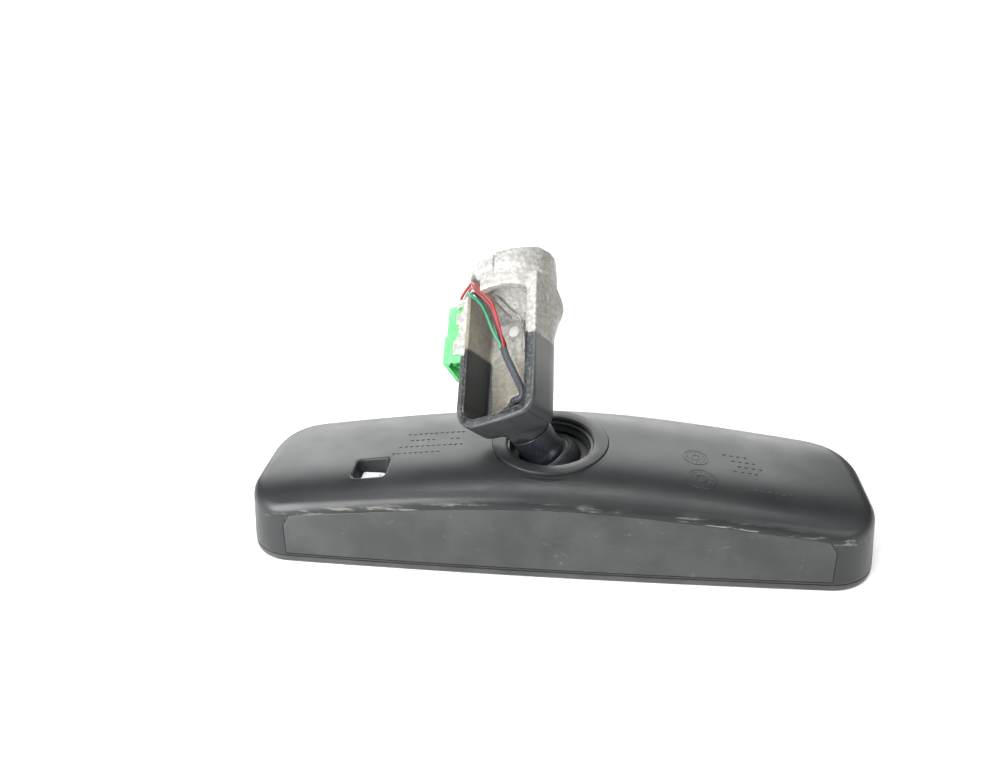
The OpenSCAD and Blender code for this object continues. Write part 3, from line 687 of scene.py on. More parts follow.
def cylinder(x, y, radius, low, high, steps=64):
    angles = np.linspace(0, 2 * np.pi, steps, endpoint=False)
    flat = np.column_stack([x + radius * np.cos(angles), y + radius * np.sin(angles)])
    return capped([lifted(flat, low), lifted(flat, high)])


POSTS = [(-105, 14), (60, -16), (60, 16), (100, -16), (100, 16)]
SCREW_CIRCLE, SCREW_TURNS, SCREW_HOLE_R = 22.0, (30, 150, 270), 1.1


def make_rear_housing(material):
    inner_low = WALL * 0.6
    rings = [wall_ring(0.0, 0.35), wall_ring(0.012, 0.12), wall_ring(0.03)]
    rings += [wall_ring(s) for s in np.linspace(0.1, 1, 12)]
    rings += [fillet_ring(s) for s in np.linspace(0.08, 1, 12)]
    rings += [dome_ring(s, HOLE_R) for s in np.linspace(0, 1, 34)[1:]]
    rings += [dome_ring(s, HOLE_R, inner_low, WALL) for s in np.linspace(1, 0, 14)]
    rings += [fillet_ring(0.5, WALL, inner_low)]
    rings += [wall_ring(s, WALL) for s in (0.9, 0.0)]
    shell = mesh_of(*banded(rings), head_frame)
    x, y = BALL_AT[:2]
    seat = cylinder(x, y, 25.8, SEAT_TOP, CROWN_H - 1.9, 128)
    well = capped([
        lifted(rounded_rectangle(6.2, 5.4, 1.5) + SENSOR_AT, LENS_Z - 2),
        lifted(rounded_rectangle(7.8, 6.6, 2.0) + SENSOR_AT, 33.5),
    ])
    added = [seat, well]
    added += [cylinder(px, py, 3, 8, back_z(px, py) - 1) for px, py in POSTS]
    shell = combined(shell, [mesh_of(*shape, head_frame) for shape in added], "UNION")
    removed = [
        cylinder(x, y, FLANGE_R + 0.15, CROWN_H - 1.9, CROWN_H + 9, 160),
        cylinder(x, y, 19.2, 0, 60, 128),
        window_cutter(),
        capped(panel_rings(0.14, [(0, -1.6), (0, 4)])),
    ]
    for turn in np.radians(SCREW_TURNS):
        sx, sy = x + SCREW_CIRCLE * math.cos(turn), y + SCREW_CIRCLE * math.sin(turn)
        removed.append(cylinder(sx, sy, SCREW_HOLE_R, 30, 38, 24))
    removed += [cylinder(px, py, SCREW_HOLE_R, 0, 18, 24) for px, py in POSTS]
    shell = combined(shell, [mesh_of(*shape, head_frame) for shape in removed], "DIFFERENCE")
    mark_scratch_and_shade_band(shell)
    return show("rear_housing_shell", shell, "head", material, ["rear_housing"], 32)


def mark_scratch_and_shade_band(mesh):
    """Marks the band under the near ridge, where scratches gather and where the colour is darkened as painted
    shade.
    """
    points = np.empty(len(mesh.vertices) * 3)
    mesh.vertices.foreach_get("co", points)
    x, y, z = (points.reshape(-1, 3) / MM - HEAD_AT).T
    near = -(HEAD_WID / 2 - EDGE_BOW) - bow(x) + DRAFT_INSET
    top = back_z(x, near + RIDGE_INSET - DRAFT_INSET) - RIDGE_FALL
    above = z - top
    band = np.exp(-(((above - 0.9) / 1.3) ** 2)) * (y < near + 4)
    scratch_and_shade_band = mesh.attributes.new("scratch_and_shade_band", "FLOAT", "POINT")
    scratch_and_shade_band.data.foreach_set("value", np.clip(band, 0, 1).astype(np.float32))


def make_blanking_panel(material):
    layers = [(0.0, -1.5), (0.0, -0.25), (0.06, -0.08), (0.22, 0.0), (0.5, 0.02)]
    layers += [(depth, 0.02) for depth in (1.5, 3, 5, 7, 9, 11, 14)]
    rings = panel_rings(0, layers)
    mesh = cleaned(mesh_of(*capped(rings), head_frame), 2e-5)
    return show("blanking_strip", mesh, "head", material, ["blanking_panel"], 40)


def make_opening_ring(material):
    lip = CROWN_H
    seat = CROWN_H - 1.8
    profile = [
        (19, 35.4), (19, seat), (FLANGE_R, seat), (FLANGE_R, lip - 0.45),
        (FLANGE_R - 0.3, lip - 0.1), (20.5, lip), (OPENING_R + 0.8, lip - 0.12),
        (OPENING_R, lip - 0.8), (OPENING_R - 0.1, lip - 2), (OPENING_R - 1.1, lip - 2.2),
        (OPENING_R - 1.3, lip - 3.6), (OPENING_R - 2.4, 35.9), (OPENING_R - 2.4, 35.4),
    ]
    points, faces = lathed(softened(profile[::-1], 0.28, 3), 160)
    place = (ball - [0, 0, BALL_AT[2]], np.eye(3))
    mesh = cleaned(mesh_of(points, faces, place), 5e-6)
    return show("opening_bezel", mesh, "head", material, ["opening_ring"], 40)


GLASS_Z, GLASS_T, GEL_T, REAR_T = 1.2, 1.6, 0.3, 1.8


def make_bezel(material):
    profile = [
        (0.9, 0.0), (0.35, 0.12), (0.08, 0.42), (0.0, 0.9), (0.0, 2.45), (0.12, 2.72), (0.4, 2.8),
        (WALL + 0.7, 2.8), (WALL + 0.7, 6.2), (WALL + 0.85, 6.4), (4.05, 6.4), (4.2, 6.2),
        (4.2, GLASS_Z), (5.3, GLASS_Z), (5.6, GLASS_Z - 0.3), (5.45, 0.35), (5.0, 0.0),
    ]
    rings = [lifted(outline(inset), height) for inset, height in profile]
    mesh = mesh_of(*banded(rings), head_frame)
    return show("front_bezel", mesh, "head", material, ["bezel"], 50)


def make_pane(name, node, material, inset, low, height):
    """A pane that follows the head's outline, with ground edges."""
    ground = min(0.25, height / 3)
    rings = [
        lifted(outline(inset + ground), low),
        lifted(outline(inset), low + ground),
        lifted(outline(inset), low + height - ground),
        lifted(outline(inset + ground), low + height),
    ]
    mesh = mesh_of(*capped(rings), head_frame)
    return show(name, mesh, "head", material, [node], 30)


def raised_bar(x, y, length, width=0.55, height=0.13):
    """A short bar moulded on the back face, draped over it."""
    along = np.linspace(-length / 2, length / 2, max(4, int(length / 2)))
    rings = []
    for s in along:
        taper = 0.35 if abs(s) > length / 2 - 0.01 else 1.0
        section = [(-0.5, -0.1), (-0.38, 0.75), (-0.2, 1), (0.2, 1), (0.38, 0.75), (0.5, -0.1)]
        py = np.array([y + width * taper * a for a, _ in section])
        px = np.full(len(section), x + s)
        lift = np.array([b * height * taper for _, b in section])
        rings.append(np.column_stack([px, py, back_z(px, py) + lift]))
    return capped(rings)


def raised_ring(x, y, radius, width=0.45, height=0.13, steps=48):
    turn = np.linspace(0, 2 * np.pi, steps, endpoint=False)
    rings = []
    for a, b in [(-0.5, -0.1), (-0.3, 0.9), (0.3, 0.9), (0.5, -0.1)]:
        px = x + (radius + a * width) * np.cos(turn)
        py = y + (radius + a * width) * np.sin(turn)
        rings.append(np.column_stack([px, py, back_z(px, py) + b * height]))
    return banded(rings)


def date_dial(x, y, radius):
    """A plain mould dial: a ring with tick marks and a centre ring."""
    shapes = [raised_ring(x, y, radius), raised_ring(x, y, radius * 0.36)]
    for k in range(12):
        turn = k * math.pi / 6
        shapes.append(
            raised_bar(x + radius * 0.72 * math.cos(turn), y + radius * 0.72 * math.sin(turn), 0.8, 0.4)
        )
    return joined(*shapes)


# Rows of dashes on the back face: start, end, y
LEFT_ROWS = (
    (-62, -37, 6.4), (-60, -49, 1.6), (-43, -38, 1.6), (-64, -37, -3.0), (-66, -44, -7.6),
)
RIGHT_ROWS = ((67, 79, 1.5), (70, 82, -2), (72, 82, -5.5), (70, 80, -9), (76, 92, -19.5))


def dashes(start, end, y, dash=1.5, gap=0.8, width=1.15, height=0.2):
    """A row of plain short dashes, moulded on the back face."""
    count = int((end - start + gap) / (dash + gap))
    places = start + dash / 2 + np.arange(count) * (dash + gap)
    return [raised_bar(x, y, dash, width, height) for x in places]


def make_moulded_marks(material):
    """Plain dashes and dials, where the real part has its moulded marks."""
    shapes = [date_dial(56, -3.5, 4.8), date_dial(57, -17, 5.4)]
    for row in LEFT_ROWS:
        shapes += dashes(*row)
    for row in RIGHT_ROWS:
        shapes += dashes(*row, 1.5, 1.2, 0.8)
    mesh = mesh_of(*joined(*shapes), head_frame)
    return show("moulded_marks", mesh, "head", material, (), 50)


def make_sensor_lens(material):
    """The clear lens: a ribbed window over a round light pipe."""
    hx, hy = WINDOW_LOW[0] / 2 - 0.1, WINDOW_LOW[1] / 2 - 0.1
    rings = []
    for z, pull in ((LENS_Z - 2, 0.15), (LENS_Z - 1.85, 0), (LENS_Z - 0.2, 0), (LENS_Z, 0.2)):
        rings.append(lifted(rounded_rectangle(hx - pull, hy - pull, 0.9) + SENSOR_AT, z))
    rings.append(lifted(rounded_rectangle(hx - 1.6, hy - 1.4, 0.8) + SENSOR_AT, LENS_Z + 0.02))
    rings.append(lifted(rounded_rectangle(hx - 1.9, hy - 1.7, 0.7) + SENSOR_AT, LENS_Z + 0.45))
    plate = mesh_of(*capped(rings), head_frame)
    pipe = cylinder(*SENSOR_AT, PIPE_R, PIPE_LOW, LENS_Z - 1.9, 48)
    mesh = combined(plate, [mesh_of(*pipe, head_frame)], "UNION")
    return show("sensor_window", mesh, "head", material, ["sensor_lens"], 35)


# ---- arm: a field whose zero surface is the casting ---------------------------------------
ARM_LEFT, ARM_RIGHT, ARM_DEPTH = -19.0, 18.4, 21.0
RIM_TOP, CAST_WALL, RIGHT_EXTRA, FLOOR_Y = 52.0, 3.8, 0.9, -3.5
COLLAR_R, COLLAR_BORE_R, COLLAR_LOW, COLLAR_TOP = 17.5, 15.0, 47.0, 67.3
BUTTON_LOW, WIRE_GAP_TOP = 52.0, 58.4
FACE_LEAN, FACE_FRONT = math.radians(20.8), 63.0
RIVET_W, RIVET_T = -3.4, 39.2
CELL = 0.42


def ease(value, low, high):
    share = np.clip((value - low) / (high - low), 0, 1)
    return share * share * (3 - 2 * share)


def smooth_min(a, b, reach):
    share = np.clip(0.5 + 0.5 * (b - a) / reach, 0, 1)
    return b * (1 - share) + a * share - reach * share * (1 - share)


def smooth_max(a, b, reach):
    return -smooth_min(-a, -b, reach)


def convex(discs, a, b, directions=96):
    """Distance to the stretched-band shape round (a, b, radius) discs, negative inside."""
    field = -np.inf
    for turn in np.linspace(0, 2 * np.pi, directions, endpoint=False):
        ca, cb = math.cos(turn), math.sin(turn)
        reach = max(x * ca + y * cb + r for x, y, r in discs)
        field = np.maximum(field, a * ca + b * cb - reach)
    return field


def box_field(w, d, t, low, high, radius=0.4):
    outside, inside = 0, -np.inf
    for value, lo, hi in zip((w, d, t), low, high):
        gap = np.abs(value - (lo + hi) / 2) - (hi - lo) / 2 + radius
        outside = outside + np.maximum(gap, 0) ** 2
        inside = np.maximum(inside, gap)
    return np.sqrt(outside) + np.minimum(inside, 0) - radius


def trough_field(w, d, t, inset, extra, back, low, left_r, right_r, low_r, reach):
    top = RIM_TOP + 8
    front = -ARM_DEPTH - 6 * (inset > 0)
    left, right = ARM_LEFT + inset, ARM_RIGHT - inset - extra
    rim = convex(
        [(-8.5, 1.5, 10.5 - inset), (11 - extra, 0.2, 7.2 - inset),
         (left + 0.5, top, 0.5), (right - 0.5, top, 0.5)], w, t)
    across = convex(
        [(left + 0.6, front + 0.6, 0.6), (right - 0.6, front + 0.6, 0.6),
         (left + left_r, back - left_r, left_r), (right - right_r, back - right_r, right_r)], w, d)
    side = convex(
        [(front + 0.6, low + 0.6, 0.6), (front + 0.6, top, 0.6),
         (back - low_r, low + low_r, low_r), (back - 0.6, top, 0.6)], d, t)
    return smooth_max(smooth_max(rim, across, reach), side, reach)


def blended_radius(t, stations, soft=1.2):
    """A radius that follows (height, radius) stations, with its bends softened."""
    heights, radii = zip(*stations)
    return sum(np.interp(t + shift, heights, radii) for shift in (-soft, -soft / 2, 0, soft / 2, soft)) / 5


# Radius about the collar's axis at each height: (height, radius)
ROOT_STATIONS = (
    (28, 15.5), (34.7, 18.1), (39.3, 19.2), (44.5, 21.1), (47.5, 21.1), (54, 18.2), (56, COLLAR_R),
)
COLLAR_STATIONS = ((55.3, COLLAR_R), (56.3, COLLAR_R + 0.9), (58, COLLAR_R + 0.9), (COLLAR_TOP, COLLAR_R))


def casting_field(w, d, t):
    outer = trough_field(w, d, t, 0, 0, 0, -9.2, 10, 10, 10, 2.0)
    outer = smooth_max(outer, t - RIM_TOP - 2.0 * ease(w, 10, 12), 0.8)
    from_axis = np.sqrt(w**2 + (d - COLLAR_Y) ** 2)
    root = 0.93 * (from_axis - blended_radius(t, ROOT_STATIONS))
    root = smooth_max(root, 28 - t, 2.0)
    root = smooth_max(root, np.maximum(-18.9 - w, w - 18.6), 1.0)
    root = smooth_max(root, COLLAR_Y - 1.3 - d, 1.0)
    root = smooth_max(root, t - COLLAR_TOP, 0.7)
    body = smooth_min(outer, root, 2.0)
    collar = smooth_max(from_axis - blended_radius(t, COLLAR_STATIONS, 0.4), t - COLLAR_TOP, 0.7)
    collar = smooth_max(collar, COLLAR_LOW - t, 0.7)
    gap_top = WIRE_GAP_TOP - 5.2 * ease(w, -10.5, -6.5)
    gap = smooth_max(np.maximum(w + 4.8, d - (COLLAR_Y - 3.5)), t - gap_top, 0.8)
    collar = smooth_max(collar, -gap, 0.6)
    body = smooth_min(body, collar, 0.8)
    flange = np.minimum(
        box_field(w, d, t, (-21.3, -ARM_DEPTH, 38), (-17, -ARM_DEPTH + 1.9, 50)),
        box_field(w, d, t, (-20.6, -ARM_DEPTH, 31), (-17, -ARM_DEPTH + 1.9, 51)),
    )
    flange = np.minimum(
        flange, box_field(w, d, t, (-22.3, -ARM_DEPTH, 25.5), (-17, -ARM_DEPTH + 1.9, 32.5), 0.9)
    )
    body = smooth_min(body, flange, 0.7)
    # The boss and its holes lie along the stem
    sa, ca = math.sin(STEM_ANGLE), math.cos(STEM_ANGLE)
    along = -d * sa + t * ca
    round_stem = np.sqrt(w**2 + (d * ca + t * sa) ** 2)
    cone = round_stem - (8.6 + (along + 5.5) * 2.4 / 9)
    cone = smooth_max(smooth_max(cone, -5.5 - along, 0.9), along - 3.5, 0.9)
    body = smooth_min(body, cone, 1.6)
    inner = trough_field(w, d, t, CAST_WALL, RIGHT_EXTRA, FLOOR_Y, -6, 2.4, 6, 6, 2.2)
    ceiling = COLLAR_LOW + 0.4 + 5.2 * ease(w, -6.5, -9.5) + 12 * ease(d, -27, -29)
    body = smooth_max(body, -smooth_max(inner, t - ceiling, 0.6), 0.9)
    bore = smooth_max(from_axis - COLLAR_BORE_R, BUTTON_LOW - t, 0.5)
    body = smooth_max(body, -bore, 0.6)
    way = smooth_max(from_axis - COLLAR_BORE_R + 1.4, np.abs(t - 48.5) - 4.5, 0.6)
    body = smooth_max(body, -way, 0.6)
    # The collar's end leans back, and is a step lower on its left
    face = (t - FACE_FRONT) * math.cos(FACE_LEAN) - (d + 28.2) * math.sin(FACE_LEAN)
    body = smooth_max(body, face + 1.0 * ease(w, 2.4, 2.0), 0.6)
    groove = box_field(w, d, t, (2.1, -32, BUTTON_LOW + 0.3), (2.8, -27.5, 68), 0.2)
    body = smooth_max(body, -groove, 0.3)
    notch = smooth_max(np.sqrt((w + 19.6) ** 2 + (t - 45.9) ** 2) - 1.7, np.abs(d + ARM_DEPTH) - 3, 0.3)
    body = smooth_max(body, -notch, 0.4)
    slot = box_field(w, d, t, (-23, -24, 34.2), (-19.6, -17, 39.4), 0.3)
    body = smooth_max(body, -slot, 0.4)
    strip = box_field(w, d, t, (RIVET_W - 2.7, FLOOR_Y - 0.8, 20), (RIVET_W + 2.7, FLOOR_Y + 1, 36.2), 0.6)
    body = smooth_min(body, strip, 0.6)
    for radius, low, high in ((5.5, -7, 2.6), (3.6, 1, 13), (6.2, 5.1, 17)):
        hole = smooth_max(round_stem - radius, np.maximum(low - along, along - high), 0.3)
        body = smooth_max(body, -hole, 0.3)
    return body


def surface_net(field, start, step):
    """Points and quads of the zero surface of a field that is sampled on a grid."""
    inside = field < 0
    shape = np.array(field.shape)
    cells, places, quads = [], [], []
    for axis in range(3):
        u, v = np.eye(3, dtype=int)[(axis + 1) % 3], np.eye(3, dtype=int)[(axis + 2) % 3]
        ahead = np.eye(3, dtype=int)[axis]
        crossed = np.argwhere(np.diff(inside, axis=axis))
        first, second = field[tuple(crossed.T)], field[tuple((crossed + ahead).T)]
        place = crossed + ahead * (first / (first - second))[:, None]
        around = [crossed - u - v, crossed - v, crossed, crossed - u]
        ids = np.array([np.ravel_multi_index(tuple(c.T), shape) for c in around])
        outward = first < 0
        quads.append(np.where(outward, ids, ids[::-1]).T)
        cells.append(ids.ravel())
        places.append(np.tile(place, (4, 1)))
    cells, places, quads = (np.concatenate(x) for x in (cells, places, quads))
    used, index = np.unique(cells, return_inverse=True)
    count = np.bincount(index)
    points = np.column_stack([np.bincount(index, places[:, k]) / count for k in range(3)])
    return start + points * step, np.searchsorted(used, quads)


def casting_masks(w, d, t):
    """Where the casting is painted and tarnished, where its paint is darkened as painted shade, and where it gets
    painted highlights, from 0 to 1.
    """
    border = 24.0 + 0.055 * (w - ARM_LEFT)
    paint = ease(t, border + 1.3, border - 1.3)
    between = (w > ARM_LEFT + 2.8) & (w < ARM_RIGHT - 3.6) & (t > -6)
    inside = between & (d > -ARM_DEPTH + 0.5) & (d < FLOOR_Y + 1.2)
    on_left = ease(w, -12.6, -14.6)
    on_right = ease(w, 11.5, 13.2)
    # The overspray on the floor is thicker towards the bottom; the dip round w -3, t 11 leaves bare metal there as
    # a painted highlight.
    floor = 0.46 * ease(t, 27, 5) * (1 - 0.5 * np.exp(-((w + 3) ** 2 + (t - 11) ** 2) / 18))
    within = floor + (ease(t, 30, 24) - floor) * np.maximum(on_left, on_right)
    within = np.maximum(within, ease(t, 1.0, -3.5))
    paint = np.where(inside, within, paint)
    paint = np.where((d > -2.2) & (t < border + 1), ease(t, border + 1, border - 1), paint)
    tarnish = np.where(inside, 0.95 * on_left + 0.9 * ease(t, 40, 14) * (1 - on_left), 0.0)
    tarnish = np.where(w > ARM_RIGHT - 1.2, 0.42 * ease(d, -20.2, -19.2), tarnish)
    # The band along the rim's front edge that gets a painted highlight.
    edge = np.exp(-((np.abs(d + ARM_DEPTH) / 0.8) ** 2))
    thin = ease(t, 0, 20) * (w > ARM_RIGHT - 1.2) * ease(d, -20.4, -19.4)
    # Painted shade: the inside of the trough and the boss below t -9.
    painted_shade = np.maximum(1.0 * inside, ease(t, -8.9, -9.5))
    return {"paint": paint, "tarnish": tarnish, "edge": edge, "thin": thin, "painted_shade": painted_shade}


def make_casting(material):
    low, high = np.array([-24.0, -30.6, -12.6]), np.array([21.2, 13.0, 69.4])
    w, d, t = np.meshgrid(*(np.arange(a, b, CELL) for a, b in zip(low, high)), indexing="ij", sparse=True)
    points, quads = surface_net(casting_field(w, d, t), low, CELL)
    mesh = mesh_of(points, quads, arm_frame)
    for name, values in casting_masks(*points.T).items():
        attribute = mesh.attributes.new(name, "FLOAT", "POINT")
        attribute.data.foreach_set("value", values.astype(np.float32))
    attribute = mesh.attributes.new("arm_at", "FLOAT_VECTOR", "POINT")
    attribute.data.foreach_set("vector", points.astype(np.float32).ravel())
    return show("cast_arm", mesh, "arm", material, ["mount_arm"], 180)


# ---- arm: stud, spring, connector and wires -----------------------------------------------
BALL_R, SPRING_R = 10.5, 0.5


def make_stud(material):
    turns = np.radians(np.linspace(-77, 31.0, 40))
    ball_side = [(BALL_R * math.cos(a), BALL_R * math.sin(a)) for a in turns]
    neck = [
        (8.9, 5.6), (9.3, 6.6), (9.4, 7.3), (9.25, 7.9), (8.75, 9.2), (8.45, 10.3), (8.6, STEM_LEN - 5.7),
        (8.4, STEM_LEN - 5.5), (5.45, STEM_LEN - 5.5), (5.45, STEM_LEN + 1.4), (3.5, STEM_LEN + 1.4),
        (3.5, STEM_LEN + 6.9), (3.2, STEM_LEN + 7.2), (2.6, STEM_LEN + 7.2), (2.6, -6.6), (2.5, -7.5),
    ]
    profile = neck[::-1] + ball_side[::-1]
    points, faces = lathed(profile, 96)
    mesh = cleaned(mesh_of(points, faces, stem_frame), 5e-6)
    bare = mesh.attributes.new("bare", "FLOAT", "POINT")
    values = [ease((Vector(v.co) / MM - Vector(ball)) @ Vector(stem_dir), 5.6, 5.2) for v in mesh.vertices]
    bare.data.foreach_set("value", values)
    return show("ball_and_stem", mesh, "arm", material, ["ball_stud"], 40)


WIRE_R, SLEEVE_R = 0.6, 1.5
WIRE_COLUMNS, WIRE_ROWS = (-24.5, -21.8), (-15.0, -12.6)
WIRES = {
    "wire_red_upper": (0, 0, [
        [-24.4, -15.2, 52], [-23.4, -15.8, 55.6], [-21, -16.6, 57.6], [-17.6, -18.4, 58.2],
        [-14.2, -21.2, 57.2], [-10.4, -23.9, 54], [-7.6, -24.6, 50.8], [-4.8, -22.6, 47.2],
        [-3, -20.4, 43.6], [-1.9, -17.2, 35.5], [-1.5, -14.3, 28.8], [-1.5, -13.7, 27.2],
    ]),
    "wire_red_lower": (0, 1, [
        [-24.4, -12.9, 52], [-23.4, -13.9, 55], [-21.2, -15.2, 56.5], [-18, -17, 57.2],
        [-15.2, -19.9, 55.9], [-11.6, -22.6, 52.9], [-8.6, -23.3, 49.6], [-5.9, -21.3, 46.2],
        [-4, -19.3, 42.6], [-2.7, -16.1, 35.1], [-1.5, -12.9, 28.8], [-1.5, -12.3, 27.2],
    ]),
    "wire_green": (1, 0, [
        [-21.6, -15.4, 51.8], [-20.4, -16.3, 54.2], [-18.2, -17.8, 55.2], [-15.2, -21.2, 52.4],
        [-12.4, -22, 49.6], [-9, -21.4, 46], [-7.1, -19.4, 41.4], [-5, -16.9, 34],
        [-3, -14.3, 28.8], [-2.9, -13.7, 27.2],
    ]),
    "wire_black": (1, 1, [
        [-21.6, -13, 51.6], [-20.4, -14.2, 53.8], [-18.4, -15.8, 54.8], [-13.8, -20.2, 52.9],
        [-10.6, -21.4, 49.9], [-7, -19.9, 46.2], [-5, -17.9, 41.8], [-3.9, -15.1, 34.6],
        [-2.9, -12.9, 28.8], [-2.9, -12.3, 27.2],
    ]),
}
SLEEVE_ROUTE = [
    [-2.2, -13, 27.2], [-1, -12.6, 23.6], [0.7, -12.1, 19.6], [2.4, -11.5, 15.7],
    [4.4, -11, 11.4], [5.9, -10.6, 7.8], [6.1, -10.3, 5.6], [4.8, -10, 4.4],
    [2.6, -9.6, 4.5], [0.8, -8.5, 4.8], [0, -7, 4.2], [0, 0, 0],
    [0, 8.6, -5.15], [0, 17.2, -10.3], [0, 26, -15.6],
]
SPRING_ROUTE = [
    [2.4, -5, 28], [2.4, -5, 31], [1.9, -5.2, 38], [1.6, -6, 41.6], [0.3, -7.2, 44.6],
    [-1.8, -10, 47.2], [-3.2, -13, 49.4], [-3.7, -16, 50.4], [-4.4, -17.7, 50.6],
    [-5.4, -17.2, 50.2], [-5.9, -15, 49.2], [-5.1, -11, 47.1], [-4, -8, 45.3], [-3.3, -6.6, 43.8],
]


def wire_route(column, row, route):
    x, y = WIRE_COLUMNS[column], WIRE_ROWS[row]
    return [[x, y, 46.5], [x, y, 49], *route, np.subtract(route[-1], [0, 0, 0.9])]


def make_wires(materials):
    for name, facts in WIRES.items():
        points, faces = swept(wire_route(*facts), WIRE_R, 16, 8)
        mesh = mesh_of(points, faces, arm_frame)
        material, slot = materials[name]
        show(name + "_run", mesh, "arm", material, [name], 50)


def make_sleeve(material):
    count = (len(SLEEVE_ROUTE) - 1) * 8 + 1
    ripple = SLEEVE_R + 0.05 * np.sin(np.arange(count) * 1.3) - 0.03
    ripple[:2] = (SLEEVE_R - 0.3, SLEEVE_R - 0.05)
    points, faces = swept(SLEEVE_ROUTE, ripple, 20, 8)
    mesh = mesh_of(points, faces, arm_frame)
    return show("cable_sleeve", mesh, "arm", material, ["harness_sleeve"], 50)


def make_spring(material):
    mesh = mesh_of(*swept(SPRING_ROUTE, SPRING_R, 14, 8), arm_frame)
    return show("spring_wire", mesh, "arm", material, ["retaining_spring"], 50)


def make_rivet(material):
    profile = [
        (0, -4.0), (1.2, -4.0), (1.45, -3.7), (1.45, 0.0), (2.5, 0.0), (2.6, 0.3), (2.5, 0.75),
        (2.2, 1.1), (1.6, 1.4), (0.8, 1.56), (0, 1.6),
    ]
    points, faces = lathed(profile, 48)
    # The rivet stands on the trough's floor and points at the rim
    turned = np.column_stack([RIVET_W + points[:, 0], FLOOR_Y - points[:, 2], RIVET_T + points[:, 1]])
    mesh = cleaned(mesh_of(turned, faces, arm_frame), 2e-6)
    return show("rivet_head", mesh, "arm", material, ["spring_rivet"], 35)


PLUG_LEFT, PLUG_RIGHT, PLUG_FRONT, PLUG_BACK, PLUG_TOP = -27.3, -19.1, -19.1, -9.0, 50.0


def slanted_block(low_x, high_x, front, back, low_front, low_back, top, bevel=0.35):
    """A block whose lower end slants from front to back, with rounded edges."""
    rings = []
    for share, inset in ((0, bevel), (0, 0.3 * bevel), (0, 0), (1, 0), (1, 0.3 * bevel), (1, bevel)):
        flat = rounded_rectangle(
            (high_x - low_x) / 2 - inset, (back - front) / 2 - inset, bevel, 3
        ) + [(high_x + low_x) / 2, (back + front) / 2]
        along = (flat[:, 1] - front) / (back - front)
        lower = low_front + (low_back - low_front) * along
        rise = {bevel: 0.0, 0.3 * bevel: 0.3 * bevel, 0: bevel}[inset]
        height = lower + rise if share == 0 else np.full(len(flat), top - rise)
        rings.append(np.column_stack([flat, height]))
    return capped(rings)


def make_connector(material, lock_material):
    body = slanted_block(PLUG_LEFT, PLUG_RIGHT, PLUG_FRONT, PLUG_BACK, 23.5, 19, PLUG_TOP)
    skirt = slanted_block(PLUG_LEFT - 0.9, PLUG_RIGHT - 4, PLUG_FRONT - 0.35, PLUG_BACK, 23.6, 19.1, 36)
    ribs = [
        block((left, PLUG_FRONT - 0.3, 38), (left + 0.8, PLUG_FRONT + 1, 48.4), 0.2)
        for left in PLUG_LEFT + 1.2 + 2.2 * np.arange(3)
    ]
    added = [mesh_of(*shape, arm_frame) for shape in (skirt, *ribs)]
    mesh = combined(mesh_of(*body, arm_frame), added, "UNION")
    socket = slanted_block(
        PLUG_LEFT + 1.1, PLUG_RIGHT - 1.1, PLUG_FRONT + 1.2, PLUG_BACK - 1.2, 10, 10, 36, 0.3
    )
    window = block((PLUG_LEFT - 2, -16.5, 26), (PLUG_LEFT + 1.5, -11.5, 29), 0.2)
    key = block((PLUG_LEFT + 2.4, PLUG_FRONT + 0.5, 12), (PLUG_LEFT + 3.6, PLUG_FRONT + 1.6, 34), 0.1)
    pockets = [cylinder(x, y, 0.85, 46, 52, 20) for x in WIRE_COLUMNS for y in WIRE_ROWS]
    removed = [mesh_of(*shape, arm_frame) for shape in (socket, window, key, *pockets)]
    mesh = combined(mesh, removed, "DIFFERENCE")
    cavities = [
        block((x - 1.1, y - 1.0, 23.5), (x + 1.1, y + 1.0, 36.4), 0.15)
        for x in WIRE_COLUMNS for y in WIRE_ROWS
    ]
    show("connector_shell", mesh, "arm", material, ["connector_housing"], 30)
    towers = mesh_of(*cavities[0], arm_frame)
    towers = combined(towers, [mesh_of(*shape, arm_frame) for shape in cavities[1:]], "UNION")
    show("connector_towers", towers, "arm", lock_material, (), 30)
    lock = joined(
        block((PLUG_LEFT - 1.9, -16, 37), (PLUG_LEFT - 0.1, -12, 46), 0.3),
        block((PLUG_LEFT - 1.9, -15.5, 45.8), (PLUG_LEFT - 0.9, -12.5, 48.5), 0.3),
    )
    show("connector_latch", mesh_of(*lock, arm_frame), "arm", lock_material,
         ["connector_lock"], 30)


# ---- build --------------------------------------------------------------------------------
plastic = head_plastic()
make_rear_housing(plastic)
make_moulded_marks(plastic)
make_blanking_panel(satin_plastic("strip_plastic", (0.038, 0.042, 0.041), 0.40, smears=0.7))
trim = satin_plastic("trim_plastic", (0.012, 0.0135, 0.0145), 0.44, smears=0.15)
make_opening_ring(trim)
make_bezel(satin_plastic("bezel_plastic", (0.045, 0.046, 0.048), 0.36, smears=0.2))
make_sensor_lens(satin_plastic("lens_plastic", (0.90, 0.94, 0.96), 0.12))

make_pane("front_pane", "front_glass", clear_glass(), 4.4, GLASS_Z, GLASS_T)
gel_look = Look("tinted_gel", (0.80, 0.88, 0.85), 0.0, Transmission_Weight=1.0, IOR=1.43)
gel_look.rough(gel_look.step(gel_look.noise(20, 3), 0.3, 0.7, 0.0, 0.03))
make_pane("gel_layer", "dimming_gel", gel_look.material, 6.8, GLASS_Z + GLASS_T, GEL_T)
make_pane("rear_pane", "rear_glass", mirror_silver(), 5.4,
          GLASS_Z + GLASS_T + GEL_T, REAR_T)

